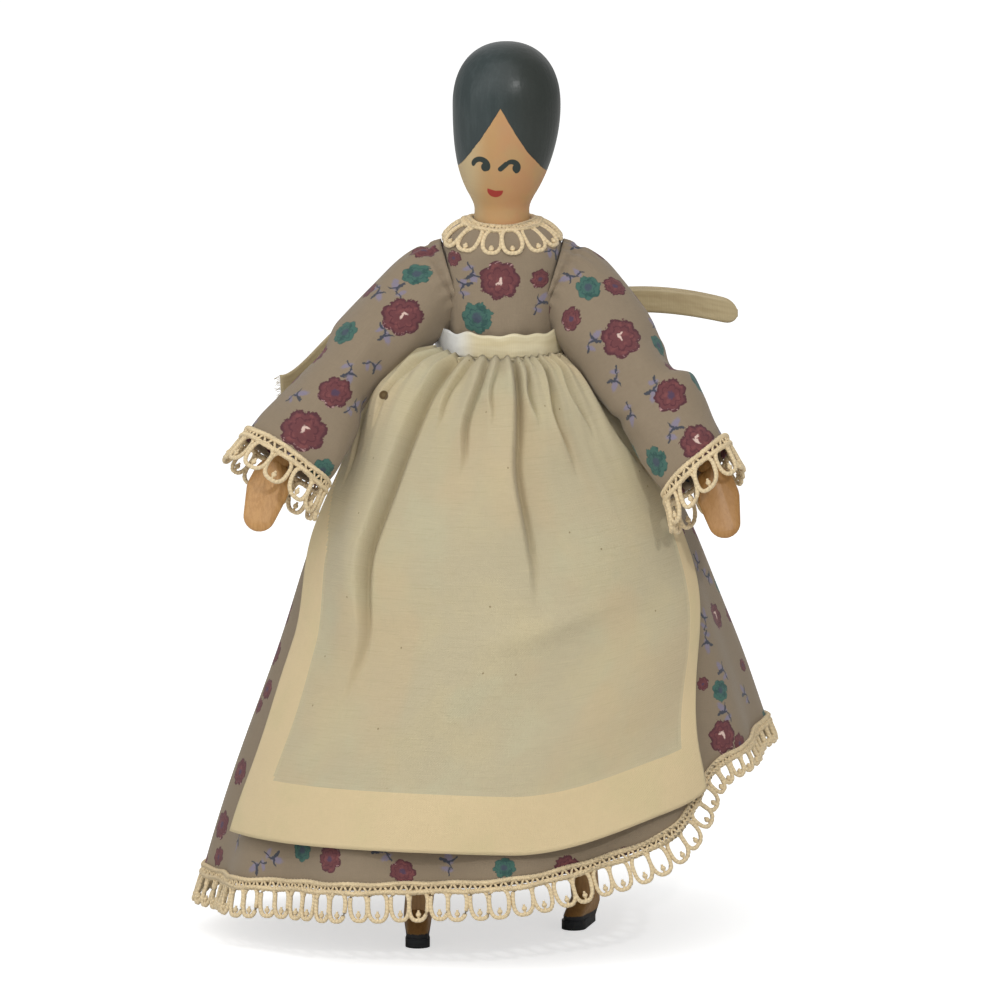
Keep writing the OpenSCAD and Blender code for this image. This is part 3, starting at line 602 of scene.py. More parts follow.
def painted_head():
    """Flesh paint over the turned wood, slate hair, two sidelong eyes and a red mouth, with painted light and
    shade across face and hair.
    """
    paint = Paint("painted_head", 0.5, "#BB9363", Specular_IOR_Level=0.3)
    x, y, z = paint.place()
    paint.mottle(paint.noise(x, y, z, scale=0.12, detail=3), 0.4, 0.62, 0.6, "#B69468")
    # Painted light: the face paler on the doll's right side
    paint.cover(x.rise(-3.0, -9.0) * 0.7, "#C6B68F")
    # Warmer, pinker mottling over the doll's left half of the face
    warm_left_mottle = paint.noise(x, y, z, scale=0.16, detail=2, rough=0.4)
    paint.cover(warm_left_mottle.rise(0.4, 0.6) * x.rise(-4.0, 2.0) * 0.35, "#C08562")
    paint.mottle(paint.noise(x * 0.15, y * 0.15, z * 2.2, detail=3), 0.5, 0.75, 0.25, "#B98F68")
    face = y.rise(0.5, -0.5)

    for (cx, cz), radius, start, end in zip(EYES, (1.8, 1.55), (-40, -62), (190, 152)):
        dark = stroke(x, z, cx, cz, radius, start, end, 1.5, 0.07, 0.22)
        iris = ellipse(x, z, cx + 1.2, cz - 0.25, 1.0, 1.2, 0.1)
        paint.cover(dark.at_least(iris) * face, EYE_PAINT)
    sx, sz = turned(x - EYES[1][0] + 2.15, z - EYES[1][1] - 0.25, math.radians(43))
    lash = (length((abs(sx) - 1.0).at_least(0.0), sz) - 0.68).rise(0.07, -0.07)
    paint.cover(lash * face, EYE_PAINT)

    mx, mz = turned(x - MOUTH[0], z - MOUTH[1], math.radians(-7))
    lower = length(mx / MOUTH_HALF_W, mz / MOUTH_H).rise(1.06, 0.94)
    upper = (mz - abs(mx) * 0.16).rise(0.12, -0.12)
    paint.cover(lower * upper * face, "#A0362F")

    part = x + 0.4
    side = abs(part) / length(part, y).at_least(0.01)
    back = y.rise(-0.5, 0.5)
    around = side + (1 - side) * back
    fall = around * (HAIR_FALL - around * HAIR_ROUND) + (1 - side) * back * HAIR_BACK
    fall = fall + x.at_least(0.0).at_most(6.5) * 0.28 + (-x).at_least(0.0).at_most(5.0) * 0.1
    wander = paint.noise(x, y, z, scale=0.5, detail=2) - 0.5
    hair = (z + fall + wander * 0.5 - HAIR_PEAK_Z).rise(-0.12, 0.12)
    paint.cover(hair, "#374040")
    sweep = paint.noise(x * 0.7, y * 0.7, z * 0.1, detail=4)
    paint.cover(hair * sweep.rise(0.45, 0.7) * 0.5, "#444D4D")
    # Painted shade: the hair darker towards the doll's left
    paint.cover(hair * x.rise(-5.0, 8.0) * 0.8, "#30332E")
    paint.relief(hair, 0.12)
    paint.relief(hair * sweep, 0.10)
    paint.relief(paint.noise(x, y, z, scale=0.8, detail=3), 0.05)
    return paint.done(0.5 - hair * 0.18)


# Mesh building
def link(name, data):
    """A new object in the scene."""
    obj = bpy.data.objects.new(name, data)
    bpy.context.scene.collection.objects.link(obj)
    return obj


def make_mesh(name, points, faces, layers, material):
    """A mesh object from points in millimetres, faces and layers of two numbers for each face corner."""
    mesh = bpy.data.meshes.new(name)
    mesh.from_pydata((np.asarray(points, float) * MM).tolist(), [], np.asarray(faces).tolist())
    for layer_name, numbers in layers.items():
        layer = mesh.uv_layers.new(name=layer_name)
        layer.data.foreach_set("uv", np.asarray(numbers, np.float32).ravel())
    mesh.polygons.foreach_set("use_smooth", [True] * len(mesh.polygons))
    mesh.materials.append(material)
    mesh.validate()
    return link(name, mesh)


def grid_faces(rows, cols, closed):
    """Corner indices of a grid's faces, and the grid places of their corners."""
    across = cols if closed else cols - 1
    r, c = np.meshgrid(np.arange(rows - 1), np.arange(across), indexing="ij")
    r, c = r.ravel(), c.ravel()
    corners_r = np.stack([r, r + 1, r + 1, r], 1)
    corners_c = np.stack([c, c, c + 1, c + 1], 1)
    return corners_r * cols + corners_c % cols, corners_r, corners_c


def motif_layers(corner_uv, motifs):
    """Each face corner's place from the nearest motif, turned with it, and that motif's radius and kind."""
    middle = corner_uv.mean(axis=1)
    away = np.hypot(middle[:, :1] - motifs[:, 0], middle[:, 1:] - motifs[:, 1]) - motifs[:, 2]
    nearest = motifs[np.argmin(away, axis=1)][:, None]
    x, y = corner_uv[..., 0] - nearest[..., 0], corner_uv[..., 1] - nearest[..., 1]
    c, s = np.cos(nearest[..., 4]), np.sin(nearest[..., 4])
    return np.stack([x * c + y * s, y * c - x * s], -1), np.broadcast_to(nearest[..., 2:4], corner_uv.shape)


def sheet(name, points, uv, material, thickness=None, offset=-1.0, closed=False, flip=False, motifs=None,
          layers=None):
    """A sheet from a grid of points, thickened towards its inside by default.

    A closed one joins up across, and its last column is its first again.
    """
    if closed:
        points = points[:, :-1]
    rows, cols = points.shape[:2]
    faces, at_row, at_col = grid_faces(rows, cols, closed)
    layers = {key: numbers[at_row, at_col] for key, numbers in {"cloth": uv, **(layers or {})}.items()}
    if motifs is not None:
        sprigs = motifs[:, 3] == SPRIG
        layers["flower"], layers["flower_kind"] = motif_layers(layers["cloth"], motifs[~sprigs])
        layers["sprig"], _ = motif_layers(layers["cloth"], motifs[sprigs])
    if flip:
        faces, layers = faces[:, ::-1], {key: numbers[:, ::-1] for key, numbers in layers.items()}
    obj = make_mesh(name, points.reshape(-1, 3), faces, layers, material)
    if thickness is not None:
        solid = obj.modifiers.new("thickness", "SOLIDIFY")
        solid.thickness = thickness * MM
        solid.offset = offset
    return obj


def tubes(name, paths, radius, material, sides=6, closed=True):
    """Round threads along paths of points in millimetres, all in one mesh."""
    points, faces, uv, base = [], [], [], 0
    turn = np.linspace(0, TURN, sides, endpoint=False)[:, None]
    for path in paths:
        n = len(path)
        ahead = np.vstack([path[1:], path[:1] if closed else 2 * path[-1:] - path[-2:-1]])
        behind = np.vstack([path[-1:] if closed else 2 * path[:1] - path[1:2], path[:-1]])
        tangent = unit(ahead - behind)
        guide = unit(np.cross(tangent, [0.31, 0.17, 0.93]))
        ring = guide[:, None] * np.cos(turn) + np.cross(tangent, guide)[:, None] * np.sin(turn)
        points.append((path[:, None] + radius * ring).reshape(-1, 3))
        f, at_row, at_col = grid_faces(n + 1 if closed else n, sides, True)
        faces.append(base + f % (n * sides))
        run = run_along(np.vstack([path, ahead[-1:]]))
        uv.append(spread(run[at_row], at_col * (TURN / sides)).reshape(-1, 2))
        base += n * sides
    return make_mesh(name, np.vstack(points), np.vstack(faces), {"cloth": np.vstack(uv)}, material)


def beads(name, centres, radius, material):
    """Small knots of thread, one at each centre."""
    rows, cols = 6, 8
    polar = np.linspace(0.001, math.pi - 0.001, rows)[:, None]
    turn = np.linspace(0, TURN, cols, endpoint=False)[None, :]
    shape = spread(np.sin(polar) * np.cos(turn), np.sin(polar) * np.sin(turn), np.cos(polar))
    f, at_row, at_col = grid_faces(rows, cols, True)
    points = [(centre + radius * shape).reshape(-1, 3) for centre in centres]
    faces = [f + k * rows * cols for k in range(len(centres))]
    uv = [spread(at_row * 0.4 + k, at_col * 0.78).reshape(-1, 2) for k in range(len(centres))]
    return make_mesh(name, np.vstack(points), np.vstack(faces), {"cloth": np.vstack(uv)}, material)


def join_objects(name, parts):
    """Joins mesh objects into the first one and names it."""
    bpy.ops.object.select_all(action="DESELECT")
    for part in parts:
        part.select_set(True)
    bpy.context.view_layer.objects.active = parts[0]
    bpy.ops.object.join()
    joined = bpy.context.view_layer.objects.active
    joined.name = name
    return joined


def apply_modifiers(obj):
    """Turns what the modifiers show into the object's own mesh."""
    depsgraph = bpy.context.evaluated_depsgraph_get()
    mesh = bpy.data.meshes.new_from_object(obj.evaluated_get(depsgraph))
    obj.modifiers.clear()
    obj.data = mesh
    return obj


def cut_box(obj, centre, size):
    """Cuts a box out of an object."""
    bpy.ops.mesh.primitive_cube_add(size=1, location=[c * MM for c in centre])
    tool = bpy.context.active_object
    tool.scale = [c * MM for c in size]
    bpy.context.view_layer.update()
    cut = obj.modifiers.new("cut", "BOOLEAN")
    cut.operation = "DIFFERENCE"
    cut.object = tool
    apply_modifiers(obj)
    bpy.data.objects.remove(tool)


# Print
def in_picture(points):
    """Where points in millimetres are in the camera's picture, in pixels."""
    up = (points[..., 2] - AIM[2]) * math.cos(CAMERA_ELEVATION)
    up = up + (points[..., 1] - AIM[1]) * math.sin(CAMERA_ELEVATION)
    return IMAGE_PX / 2 + np.stack([points[..., 0] - AIM[0], -up], -1) * PX_PER_MM


def towards_camera(points):
    """How far a sheet round a middle line faces the camera at each of its points, from -1 to 1."""
    normal = unit(np.cross(np.gradient(points, axis=1), np.gradient(points, axis=0)) + 1e-9)
    outward = points - points.mean(axis=1, keepdims=True)
    view = np.array([0, -math.cos(CAMERA_ELEVATION), math.sin(CAMERA_ELEVATION)])
    return normal @ view * np.sign(np.sum(normal * outward))


def lay_print(points, uv, piece, seed, covered=False):
    """Place, radius, kind and turn of a piece's motifs: the picture's, then others on the rest of it."""
    facing = towards_camera(points)
    picture = in_picture(points).reshape(-1, 2) + np.where(facing > 0.1, 0, 1e5).reshape(-1, 1)
    flat = uv.reshape(-1, 2)
    edges = np.vstack([uv[:, 0], uv[:, -1]])
    rest = np.flatnonzero((facing < 0.2) | covered)
    rng = np.random.default_rng(seed)
    flowers, sprigs = PRINT[piece]
    motifs = []
    for px, py, radius, kind in flowers + tuple((*place, SPRIG_PX, SPRIG) for place in sprigs):
        nearest = flat[np.argmin(np.hypot(*(picture - (px, py)).T))]
        turn = rng.uniform(-0.4, 0.4) if kind == TICKED else rng.uniform(0, TURN)
        motifs.append((*nearest, radius / PX_PER_MM, kind, turn))
    for fill, gap in zip(PRINT_FILL, PRINT_GAP):
        for k in rng.permutation(rest)[:PRINT_TRIES]:
            radius, kind = fill[rng.integers(len(fill))]
            radius = radius / PX_PER_MM
            placed = np.array(motifs)
            room = np.hypot(*(placed[:, :2] - flat[k]).T) - placed[:, 2] - radius
            if room.min() > gap and np.hypot(*(edges - flat[k]).T).min() > radius:
                motifs.append((*flat[k], radius, kind, rng.uniform(0, TURN)))
    return np.array(motifs)


# Skirt surface: the CAD source's flare and folds, with the hem and the right side shaped a little further
def drop(z):
    """How far down the skirt a height is, from 0 to 1."""
    return np.maximum(0, (SKIRT_TOP - z) / (SKIRT_TOP - HEM_H))


def hem_z(a):
    low = HEM_H + HEM_LIFT * (1 - ((1 - np.cos(a)) / 2) ** 6) + HEM_RISE * ((1 + np.cos(a)) / 2) ** 4
    return low + 5.5 * bell((np.cos(a) - 0.8) / 0.13) * smooth(-2.5 * np.sin(a))


def skirt_point(a, z, wave=1.0, out=0.0):
    """Point of the skirt at an azimuth and a height, with that share of its folds."""
    d = drop(z)
    folds = np.minimum(1, d) * (1 - np.cos(SKIRT_FOLDS * a + math.radians(40) * np.sin(2 * a))) / 2
    w = out - wave * SKIRT_FOLD * folds - 2.2 * bell((d - 0.58) / 0.2) * smooth(-2 * np.cos(a))
    half_w = WAIST_R + (HEM_HALF_W - WAIST_R) * d ** 0.6 + w
    half_d = WAIST_R + (HEM_HALF_D - WAIST_R) * d ** 0.66 + w
    return spread(BODY_X + HEM_SWAY * d + half_w * np.cos(a), half_d * np.sin(a), z)


def skirt_normal(a, z):
    """Outward direction of the skirt without its folds."""
    step = 0.02
    round_it = skirt_point(a + step, z, 0.0) - skirt_point(a - step, z, 0.0)
    up_it = skirt_point(a, z + step, 0.0) - skirt_point(a, z - step, 0.0)
    return unit(np.cross(round_it, up_it))


def make_skirt(material):
    a = all_round(400)
    t = np.linspace(0, 1, 100)[:, None]
    z = mix(SKIRT_TOP + 2.0, hem_z(a), t ** 1.15)
    d = drop(z)
    gathers = -0.5 * np.exp(-d * 9) * smooth(d * 40) * (1 + np.cos(44 * a + 3 * np.sin(3 * a)))
    soft = 0.35 * ripple(a, 4 * t, 3) * smooth(d * 3) - 0.35
    points = skirt_point(a, z, 1.0, gathers + soft)
    # Laid flat, the skirt is this share of a full ring, so that the print isn't stretched
    ring_share = 0.36
    run = run_along(points) + WAIST_R / ring_share
    turn = (a - FRONT) * ring_share
    uv = spread(run * np.sin(turn), run * np.cos(turn))
    under_apron = (np.abs(a - FRONT) < 0.6) & (z > 50)
    motifs = lay_print(points, uv, "skirt", 4, under_apron)
    return sheet("skirt_cloth", points, uv, material, SHEET_T, closed=True, motifs=motifs)


# Bodice
def bodice_point(a, run, out=0.0):
    """Point of the bodice at azimuth a, so many millimetres down the cloth from the neckline."""
    top = NECKLINE_Z - 0.8 * np.sin(a) ** 2
    over = np.minimum(1, run / SHOULDER_RUN)
    level = top - (top - SHOULDER_TOP_Z) * over ** 1.43 - np.maximum(0, run - SHOULDER_RUN)
    low = smooth((SHOULDER_TOP_Z - level) / 20)
    across = 1 - (1 - over) ** 2.05
    half_w = NECKLINE_R + (mix(*BODICE_HALF_W, low) - NECKLINE_R) * across + out
    half_d = NECKLINE_R + (mix(*BODICE_HALF_D, low) - NECKLINE_R) * across + out
    square = mix(2.0, 3.0, across * (1 - low))
    c, s = np.cos(a), np.sin(a)
    reach = (np.abs(c) ** square + np.abs(s) ** square) ** (-1 / square)
    return spread(BODY_X + half_w * reach * c, half_d * reach * s, level + out * 0.8 * (1 - over))


def make_bodice(material):
    """A fitted tube from the neckline over the shoulders to the waist."""
    a = all_round(180)
    total = SHOULDER_RUN + SHOULDER_TOP_Z - WAIST_Z + 2.4
    run = np.linspace(0, total, 70)[:, None]
    t = run / total
    pleat = 0.28 * np.cos(20 * a + 2 * np.sin(3 * a)) * smooth((t - 0.6) / 0.4)
    wrinkle = 0.3 * ripple(2 * a, 5 * t, 11) * smooth(6 * t) * (0.35 + 0.65 * np.abs(np.sin(a)))
    seam = -0.5 * bell((np.abs(np.cos(a)) - 0.90) / 0.06) * smooth(run / SHOULDER_RUN - 0.4)
    points = bodice_point(a, run, pleat + wrinkle + seam - 0.25)
    uv = spread((a - FRONT) * BODICE_R, -run)
    motifs = lay_print(points, uv, "bodice", 6)
    return sheet("bodice_cloth", points, uv, material, SHEET_T, closed=True, flip=True, motifs=motifs)


# Sleeves
def arm_frame(side):
    """Shoulder centre, elbow centre, arm direction and the arm's outward side."""
    s = SIDES[side]
    shoulder = np.array([BODY_X + s * SHOULDER_X, 0, SHOULDER_Z])
    elbow = np.array(joints[side + "_elbow"]["pos_m"]) / MM
    return shoulder, elbow, unit(elbow - shoulder), -s * np.array(joints[side + "_elbow"]["axis"])


def sleeve_centre(side, share):
    """The sleeve's middle line: a curve out of the armhole, then straight along the arm."""
    s = SIDES[side]
    shoulder, _, along, outward = arm_frame(side)
    p0 = np.array([BODY_X + s * (SEAM_X - 3.0), 0, SHOULDER_Z - 1.5])
    p3 = shoulder + along * SLEEVE_BEND_END + outward * SLEEVE_SHIFT[side]
    p1, p2 = p0 + np.array([s * 8.0, 0, -2.4]), p3 - along * 11
    q = np.clip(share / SLEEVE_BEND, 0, 1)
    curve = (1 - q) ** 3 * p0 + 3 * q * (1 - q) ** 2 * p1 + 3 * q * q * (1 - q) * p2 + q ** 3 * p3
    beyond = np.clip((share - SLEEVE_BEND) / (1 - SLEEVE_BEND), 0, 1)
    straight = mix(p3, shoulder + along * SLEEVE_LEN, beyond)
    return np.where(share < SLEEVE_BEND, curve, straight)


def make_sleeve(side, material):
    """One soft tube from the round armhole to the flat bell of the cuff."""
    s = SIDES[side]
    _, _, along, outward = arm_frame(side)
    turn = np.linspace(-math.pi, math.pi, 111)
    t = np.linspace(0, 1, 110)[:, None]
    centre = sleeve_centre(side, t)
    axis = unit(np.gradient(centre, axis=0))
    wide = unit(outward - axis * (axis @ outward)[:, None])
    deep = np.cross(axis, wide)
    outer, inner = np.maximum(0, np.cos(turn)), np.maximum(0, -np.cos(turn))
    seam = run_along(centre)[:, None] - 2.8
    half_w = mix(ARMHOLE_R - 0.7, SLEEVE_HALF_W, smooth(t / 0.3))
    half_w = half_w + (CUFF_HALF_W - SLEEVE_HALF_W) * smooth((t - 0.5) / 0.5)
    half_d = mix(ARMHOLE_R - 0.5, SLEEVE_HALF_D, smooth(t / 0.3))
    half_d = half_d + (CUFF_HALF_D - SLEEVE_HALF_D) * smooth((t - 0.3) / 0.7)
    puffs = [high * bell((t - at) / np.where(t < at, rise, fall))
             for at, rise, fall, high in SLEEVE_PUFFS[side]]
    trims = [depth * smooth((t - at) / over) for at, over, depth in OUTER_TRIM[side]]
    lets = [out * bell((t - at) / over) for at, over, out in INNER_TRIM[side]]
    puff = sum(puffs) * outer - sum(trims) * outer ** 1.5 + sum(lets) * inner
    tuck = -0.8 * bell(seam / 0.7)
    soft = 0.5 * ripple(turn, 7 * t, 21 + s) * smooth(t * 5) * smooth((1 - t) * 8)
    pleats = 0.30 * np.cos(18 * turn) * bell(seam / 5)
    elbow_crease = -0.8 * bell((t - 0.62 - 0.05 * np.sin(turn)) / 0.03) * inner
    shape = soft + pleats + puff + tuck + elbow_crease
    points = centre[:, None] + ((half_w + shape) * np.cos(turn))[..., None] * wide[:, None]
    points = points + ((half_d + shape) * np.sin(turn))[..., None] * deep[:, None]
    slant = CUFF_SLANT[side] * smooth((t - 0.75) / 0.25) * np.cos(turn)
    points = points + slant[..., None] * along
    run = run_along(points)
    uv = spread(turn * SLEEVE_R, run - run[-1:])
    motifs = lay_print(points, uv, side, 8 + s)
    return sheet(side + "_sleeve_cloth", points, uv, material, SHEET_T, closed=True, flip=True, motifs=motifs)


# Lace: two twisted heading cords, a zigzag between them, and open loops with a bead in each
def make_lace(name, place, loops, material, seed, height=LACE_H):
    """place(share, fall, out) gives the point so far round, so far below the edge and so far out from it."""
    rng = np.random.default_rng(seed)
    share = np.arange(loops * 24) / (loops * 24)
    rounds = TURN * loops * share
    cords = []
    for level in CORD_LEVELS:
        for phase in (0, math.pi):
            twist = 5 * rounds + phase
            sag = 0.16 * np.sin(0.37 * rounds + level)
            cords.append(place(share, level + 0.3 * np.cos(twist) + sag, 0.3 * np.sin(twist)))
    zigzag = place(share, 1.45 + 0.95 * np.cos(2 * rounds), 0.1 + 0 * share)
    turn = np.linspace(0, TURN, 22, endpoint=False)
    bow, reach = np.sin(turn), np.sign(np.cos(turn)) * np.abs(np.cos(turn)) ** 0.7
    stem = np.linspace(0, 1, 5)
    rings, stems, centres = [], [], []
    for k in range(loops):
        lean = 0.10 if k % 2 else -0.10
        mid = (k + 0.5 + 0.45 * lean) / loops
        wide = (0.45 + 0.03 * rng.uniform(-1, 1)) / loops
        low = height - THREAD_R - 0.35 * rng.uniform(0, 1)
        half = (low - LOOP_TOP) / 2
        across = mid + wide * reach * (1 - 0.10 * bow) + 0.05 * rng.uniform(-1, 1) / loops * bow
        fall = low - half + half * np.sign(bow) * np.abs(bow) ** 0.8
        rings.append(place(across, fall, 0.25 * rng.uniform(-1, 1) + 0.2 * bow))
        tip = low - 1.55
        centres.append(place(np.array([mid]), np.array([tip]), np.array([0.1]))[0])
        stems.append(place(mid + 0 * stem, mix(low, tip - 1.1, stem), 0.1 + 0 * stem))
    return join_objects(name, [
        tubes(name, cords, THREAD_R * 0.8, material),
        tubes(name + "_loops", rings, THREAD_R, material),
        tubes(name + "_zigzag", [zigzag], FINE_THREAD_R, material, 5),
        tubes(name + "_stems", stems, FINE_THREAD_R, material, 5, closed=False),
        beads(name + "_beads", centres, BEAD_R, material)])


def hem_lace_place(share, fall, out):
    """The hem's lace hangs down the skirt, and is shorter where the hem rises."""
    a = share * TURN + BACK
    step = 0.01
    tangent = unit(skirt_point(a + step, hem_z(a + step)) - skirt_point(a - step, hem_z(a - step)))
    normal = skirt_normal(a, hem_z(a) + 1.0)
    down = unit(np.cross(normal, tangent))
    down = down * np.sign(-down[..., 2:])
    fall = fall * (1 - 0.33 * smooth((np.cos(a) - 0.45) / 0.4)) - 1.8
    return skirt_point(a, hem_z(a)) + down * fall[..., None] + normal * (out + 0.1)[..., None]


def cuff_lace_place(side):
    """The cuff's lace goes round the sleeve's end and hangs from it."""
    shoulder, _, along, wide = arm_frame(side)
    deep = unit(np.cross(along, wide))
    hang = unit(along + np.array([0, 0, -CUFF_DROOP[side]]))
    trim = sum(depth for _, _, depth in OUTER_TRIM[side])

    def place(share, fall, out):
        a = share * TURN
        w = 0.12 * fall + out + 0.45
        half_w = CUFF_HALF_W + w - trim * np.maximum(0, np.cos(a)) ** 1.5
        edge = shoulder + (SLEEVE_LEN - 1.9 + CUFF_SLANT[side] * np.cos(a))[:, None] * along
        edge = edge + (half_w * np.cos(a))[:, None] * wide + ((CUFF_HALF_D + w) * np.sin(a))[:, None] * deep
        return edge + fall[:, None] * hang

    return place


def collar_place(share, fall, out):
    """The collar lies over the shoulders from the neckline."""
    a = share * TURN + BACK
    return bodice_point(a, fall * (1 - 0.2 * np.cos(a) ** 2) + 0.2, 0.35 + out)


# Apron; u goes across it from the doll's right and t down it
def apron_right_edge(t):
    return np.radians(-165 - 2 * smooth(t / 0.15) + 9 * smooth((t - 0.38) / 0.22) - smooth((t - 0.7) / 0.3))


def apron_left_edge(t):
    return np.radians(-26 + 3.5 * smooth((t - 0.18) / 0.15) - 22.5 * smooth((t - 0.38) / 0.55))


def apron_width(z):
    return mix(APRON_TOP_W, APRON_W, drop(z) ** 0.6)


def apron_folds(u, t, across):
    """Folds that hang from the gathers, steep on one side, and how much painted shade goes in the crease beside
    each of them.
    """
    total, dark = 0 * u, 0 * u
    for top, bottom, depth, width, height in APRON_FOLDS:
        down = t / depth
        line = mix(top, bottom, np.minimum(1, down) ** 0.8) + 0.008 * np.sin(9 * down)
        d = (u - line) * across / width
        ridge = np.where(d < 0, bell(d / 1.3), bell(d / 0.13))
        valley = -0.40 * bell((d - 0.26) / 0.15)
        fade = smooth(t / 0.05) * (1 - smooth((down - 0.55) / 0.5))
        total = total + height * (ridge + valley) * fade
        # Painted shade in the crease beside this fold
        dark = dark + bell((d - 0.22) / 0.11) * fade * height / 5
    return total, dark


def apron_surface(u, t, out=0.0):
    """Points of the apron: its folds, gathers, one slanting crease and the puff at its upper right corner."""
    edge = apron_left_edge(t)
    a = mix(apron_right_edge(t), edge, u)
    low = HEM_H + APRON_LIFT + APRON_CORNER * smooth((a + BACK) / (edge + BACK))
    low = low + 4.0 * (1 - np.sqrt(1 - np.clip((u - 0.90) / 0.10, 0, 1) ** 2))
    z = mix(SKIRT_TOP + 1.9, low + 1.3 * np.sin(math.pi * u) ** 2, t)
    inner = smooth(8 * u) * smooth(8 * (1 - u))
    fold = apron_folds(u, t, apron_width(z))[0] * inner
    fine = 0.8 * np.exp(-t * 12) * (1 + np.cos(TURN * 19 * u + 5 * np.sin(8 * u))) * inner
    crease = 0.5 * ripple(5 * u, 4 * t, 31) * smooth(4 * t)
    crease = crease + 1.5 * bell((t - 0.52 - 0.22 * (0.72 - u)) / 0.026) * bell((u - 0.60) / 0.12)
    puff = 5.6 * bell((t - 0.11) / 0.09) * smooth(t / 0.05) * bell((u - 0.08) / 0.17)
    height = CLOTH_GAP + CLOTH_T / 2 + 0.9 + puff + fold + fine + crease + out
    return skirt_point(a, z, 0.0) + height[..., None] * skirt_normal(a, z)


def make_apron(cotton, hem_cotton):
    u, t = np.meshgrid(np.linspace(0, 1, 260), np.linspace(0, 1, 140) ** 1.2)
    side = smooth((t - 0.22) / 0.22)
    doubled = (u < APRON_RIGHT_HEM * side) | (u > 1 - APRON_LEFT_HEM * side) | (t > 1 - APRON_LOW_HEM)
    points = apron_surface(u, t, np.where(doubled, APRON_HEM_T, 0.0))
    uv = spread((u - 0.5) * APRON_W, run_along(points).mean(axis=1)[:, None])
    # How much painted shade each crease gets, kept in a layer of the mesh
    dark = apron_folds(u, t, apron_width(points[..., 2]))[1]
    apron = sheet("apron_cloth", points, uv, cotton, APRON_T, layers={"crease": spread(dark, dark)})
    apron.data.materials.append(hem_cotton)
    on_hem = doubled[:-1, :-1] & doubled[1:, 1:]
    apron.data.polygons.foreach_set("material_index", on_hem.ravel().astype(int))
    return apron


# Ribbon
def band(name, centre, across, material, width=RIBBON_W):
    """A flat ribbon along a line of points, with its width and the width's direction at each of them."""
    reach = np.broadcast_to(width, (len(centre),))[:, None] * np.linspace(-0.5, 0.5, 9)
    points = centre[:, None] + unit(across)[:, None] * reach[..., None]
    return sheet(name, points, spread(run_along(centre)[:, None], reach), material, RIBBON_T, offset=0.0)


def make_waist_ribbon(material):
    a, v = all_round(240), np.linspace(-0.5, 0.5, 9)[:, None]
    front = smooth(-np.sin(a) * 2)
    wave = 0.30 * np.sin(9 * a + 1.0) + 0.22 * np.sin(17 * a)
    r = RIBBON_R + 0.15 + 0.10 * np.sin(13 * a) + 0.25 * (0.5 - np.abs(v)) + 0.25 * front * (0.5 - v)
    z = WAIST_Z + 1.5 * front + v * (RIBBON_W + 0.25 * np.sin(11 * a)) + wave * (0.5 + v)
    points = spread(BODY_X + r * np.cos(a), r * np.sin(a), z)
    return sheet("waist_ribbon", points, spread(a * RIBBON_R, v * RIBBON_W), material, RIBBON_T, closed=True)


def make_knot(material):
    """The bow's knot: a short wrapped band, pinched in at its middle."""
    a = np.linspace(0, TURN, 41)[None, :]
    t = np.linspace(-1, 1, 24)[:, None]
    round_end = 1 - np.abs(t) ** 4 * 0.35
    crease = 0.18 * np.cos(9 * a + 2 * t) + 0.12 * np.cos(5 * a - 3 * t)
    y = KNOT_Y + (2.3 + crease) * round_end * np.cos(a)
    z = WAIST_Z + (2.9 + crease) * round_end * np.sin(a)
    points = spread(BODY_X + 2.5 * t, y, z)
    return sheet("bow_knot", points, spread(a * 2.6, t * 2.5), material, closed=True, flip=True)


def make_loop(side, reach, arch, decline, material):
    """A flattened bow loop standing out from the knot behind the waist."""
    t = np.linspace(0, TURN, 90)
    share = ((1 - np.cos(t)) / 2) ** 0.9
    x = BODY_X + SIDES[side] * (2.4 + (reach + 0.4) * share)
    y = KNOT_Y + 2.3 * np.sin(t) * (0.35 + 0.65 * share)
    z = WAIST_Z + 1.4 + arch * np.sin(math.pi * share * 0.85) - decline * share ** 2
    tilt = spread(0, 0.06 * np.sin(2 * t), 1)
    rounded = np.maximum(0.3, np.sqrt(1 - np.clip((share - 0.94) / 0.06, 0, 1) ** 2))
    return band(side + "_bow_loop", spread(x, y, z), tilt, material, RIBBON_W * 0.98 * rounded)


def make_right_tail(material):
    """The end that hangs out behind the right arm, with its frayed threads."""
    t = np.linspace(0, 1, 60)
    x = BODY_X - 3.2 - 54.5 * t
    y = KNOT_Y + RIBBON_W / 2 + CLOTH_GAP + 0.5 * np.sin(6 * t) * t
    z = WAIST_Z - 16.5 * smooth((t - 0.58) / 0.42) + 0.4 * np.sin(7 * t)
    centre, across = spread(x, y, z), spread(np.gradient(z), 0.4 * np.sin(5 * t) * t, -np.gradient(x))
    ribbon = apply_modifiers(band("right_ribbon_end", centre, across, material))
    rng = np.random.default_rng(5)
    frays = []
    for k in np.linspace(-0.48, 0.48, 15):
        aim = np.array([-1.6, 0.5 * rng.uniform(-1, 1), -0.6 + 0.9 * rng.uniform(-1, 1)])
        step = np.linspace(0, 1, 5)[:, None] * aim * rng.uniform(0.5, 1.1)
        frays.append(centre[-1] + unit(across[-1]) * k * RIBBON_W + step)
    return join_objects(ribbon.name, [ribbon, tubes("fray", frays, 0.07, material, 4, closed=False)])


def make_left_tail(material):
    """The other end hangs down the back of the skirt."""
    t = np.linspace(0, 1, 60)
    z = mix(WAIST_Z - 2.6, mix(WAIST_Z, HEM_H, 0.42) + 0.5, t)
    skirt_y = skirt_point(BACK - 0.1, z, 0.0)[:, 1]
    y = np.maximum(skirt_y, RIBBON_R + 0.4) + CLOTH_GAP + 0.25 + 0.2 * np.sin(9 * t)
    across = spread(1, 0.08 * np.sin(6 * t), 0.10 * np.sin(3 * t))
    return band("left_ribbon_end", spread(BODY_X + 6.4 + 0.8 * np.sin(4 * t), y, z), across, material)


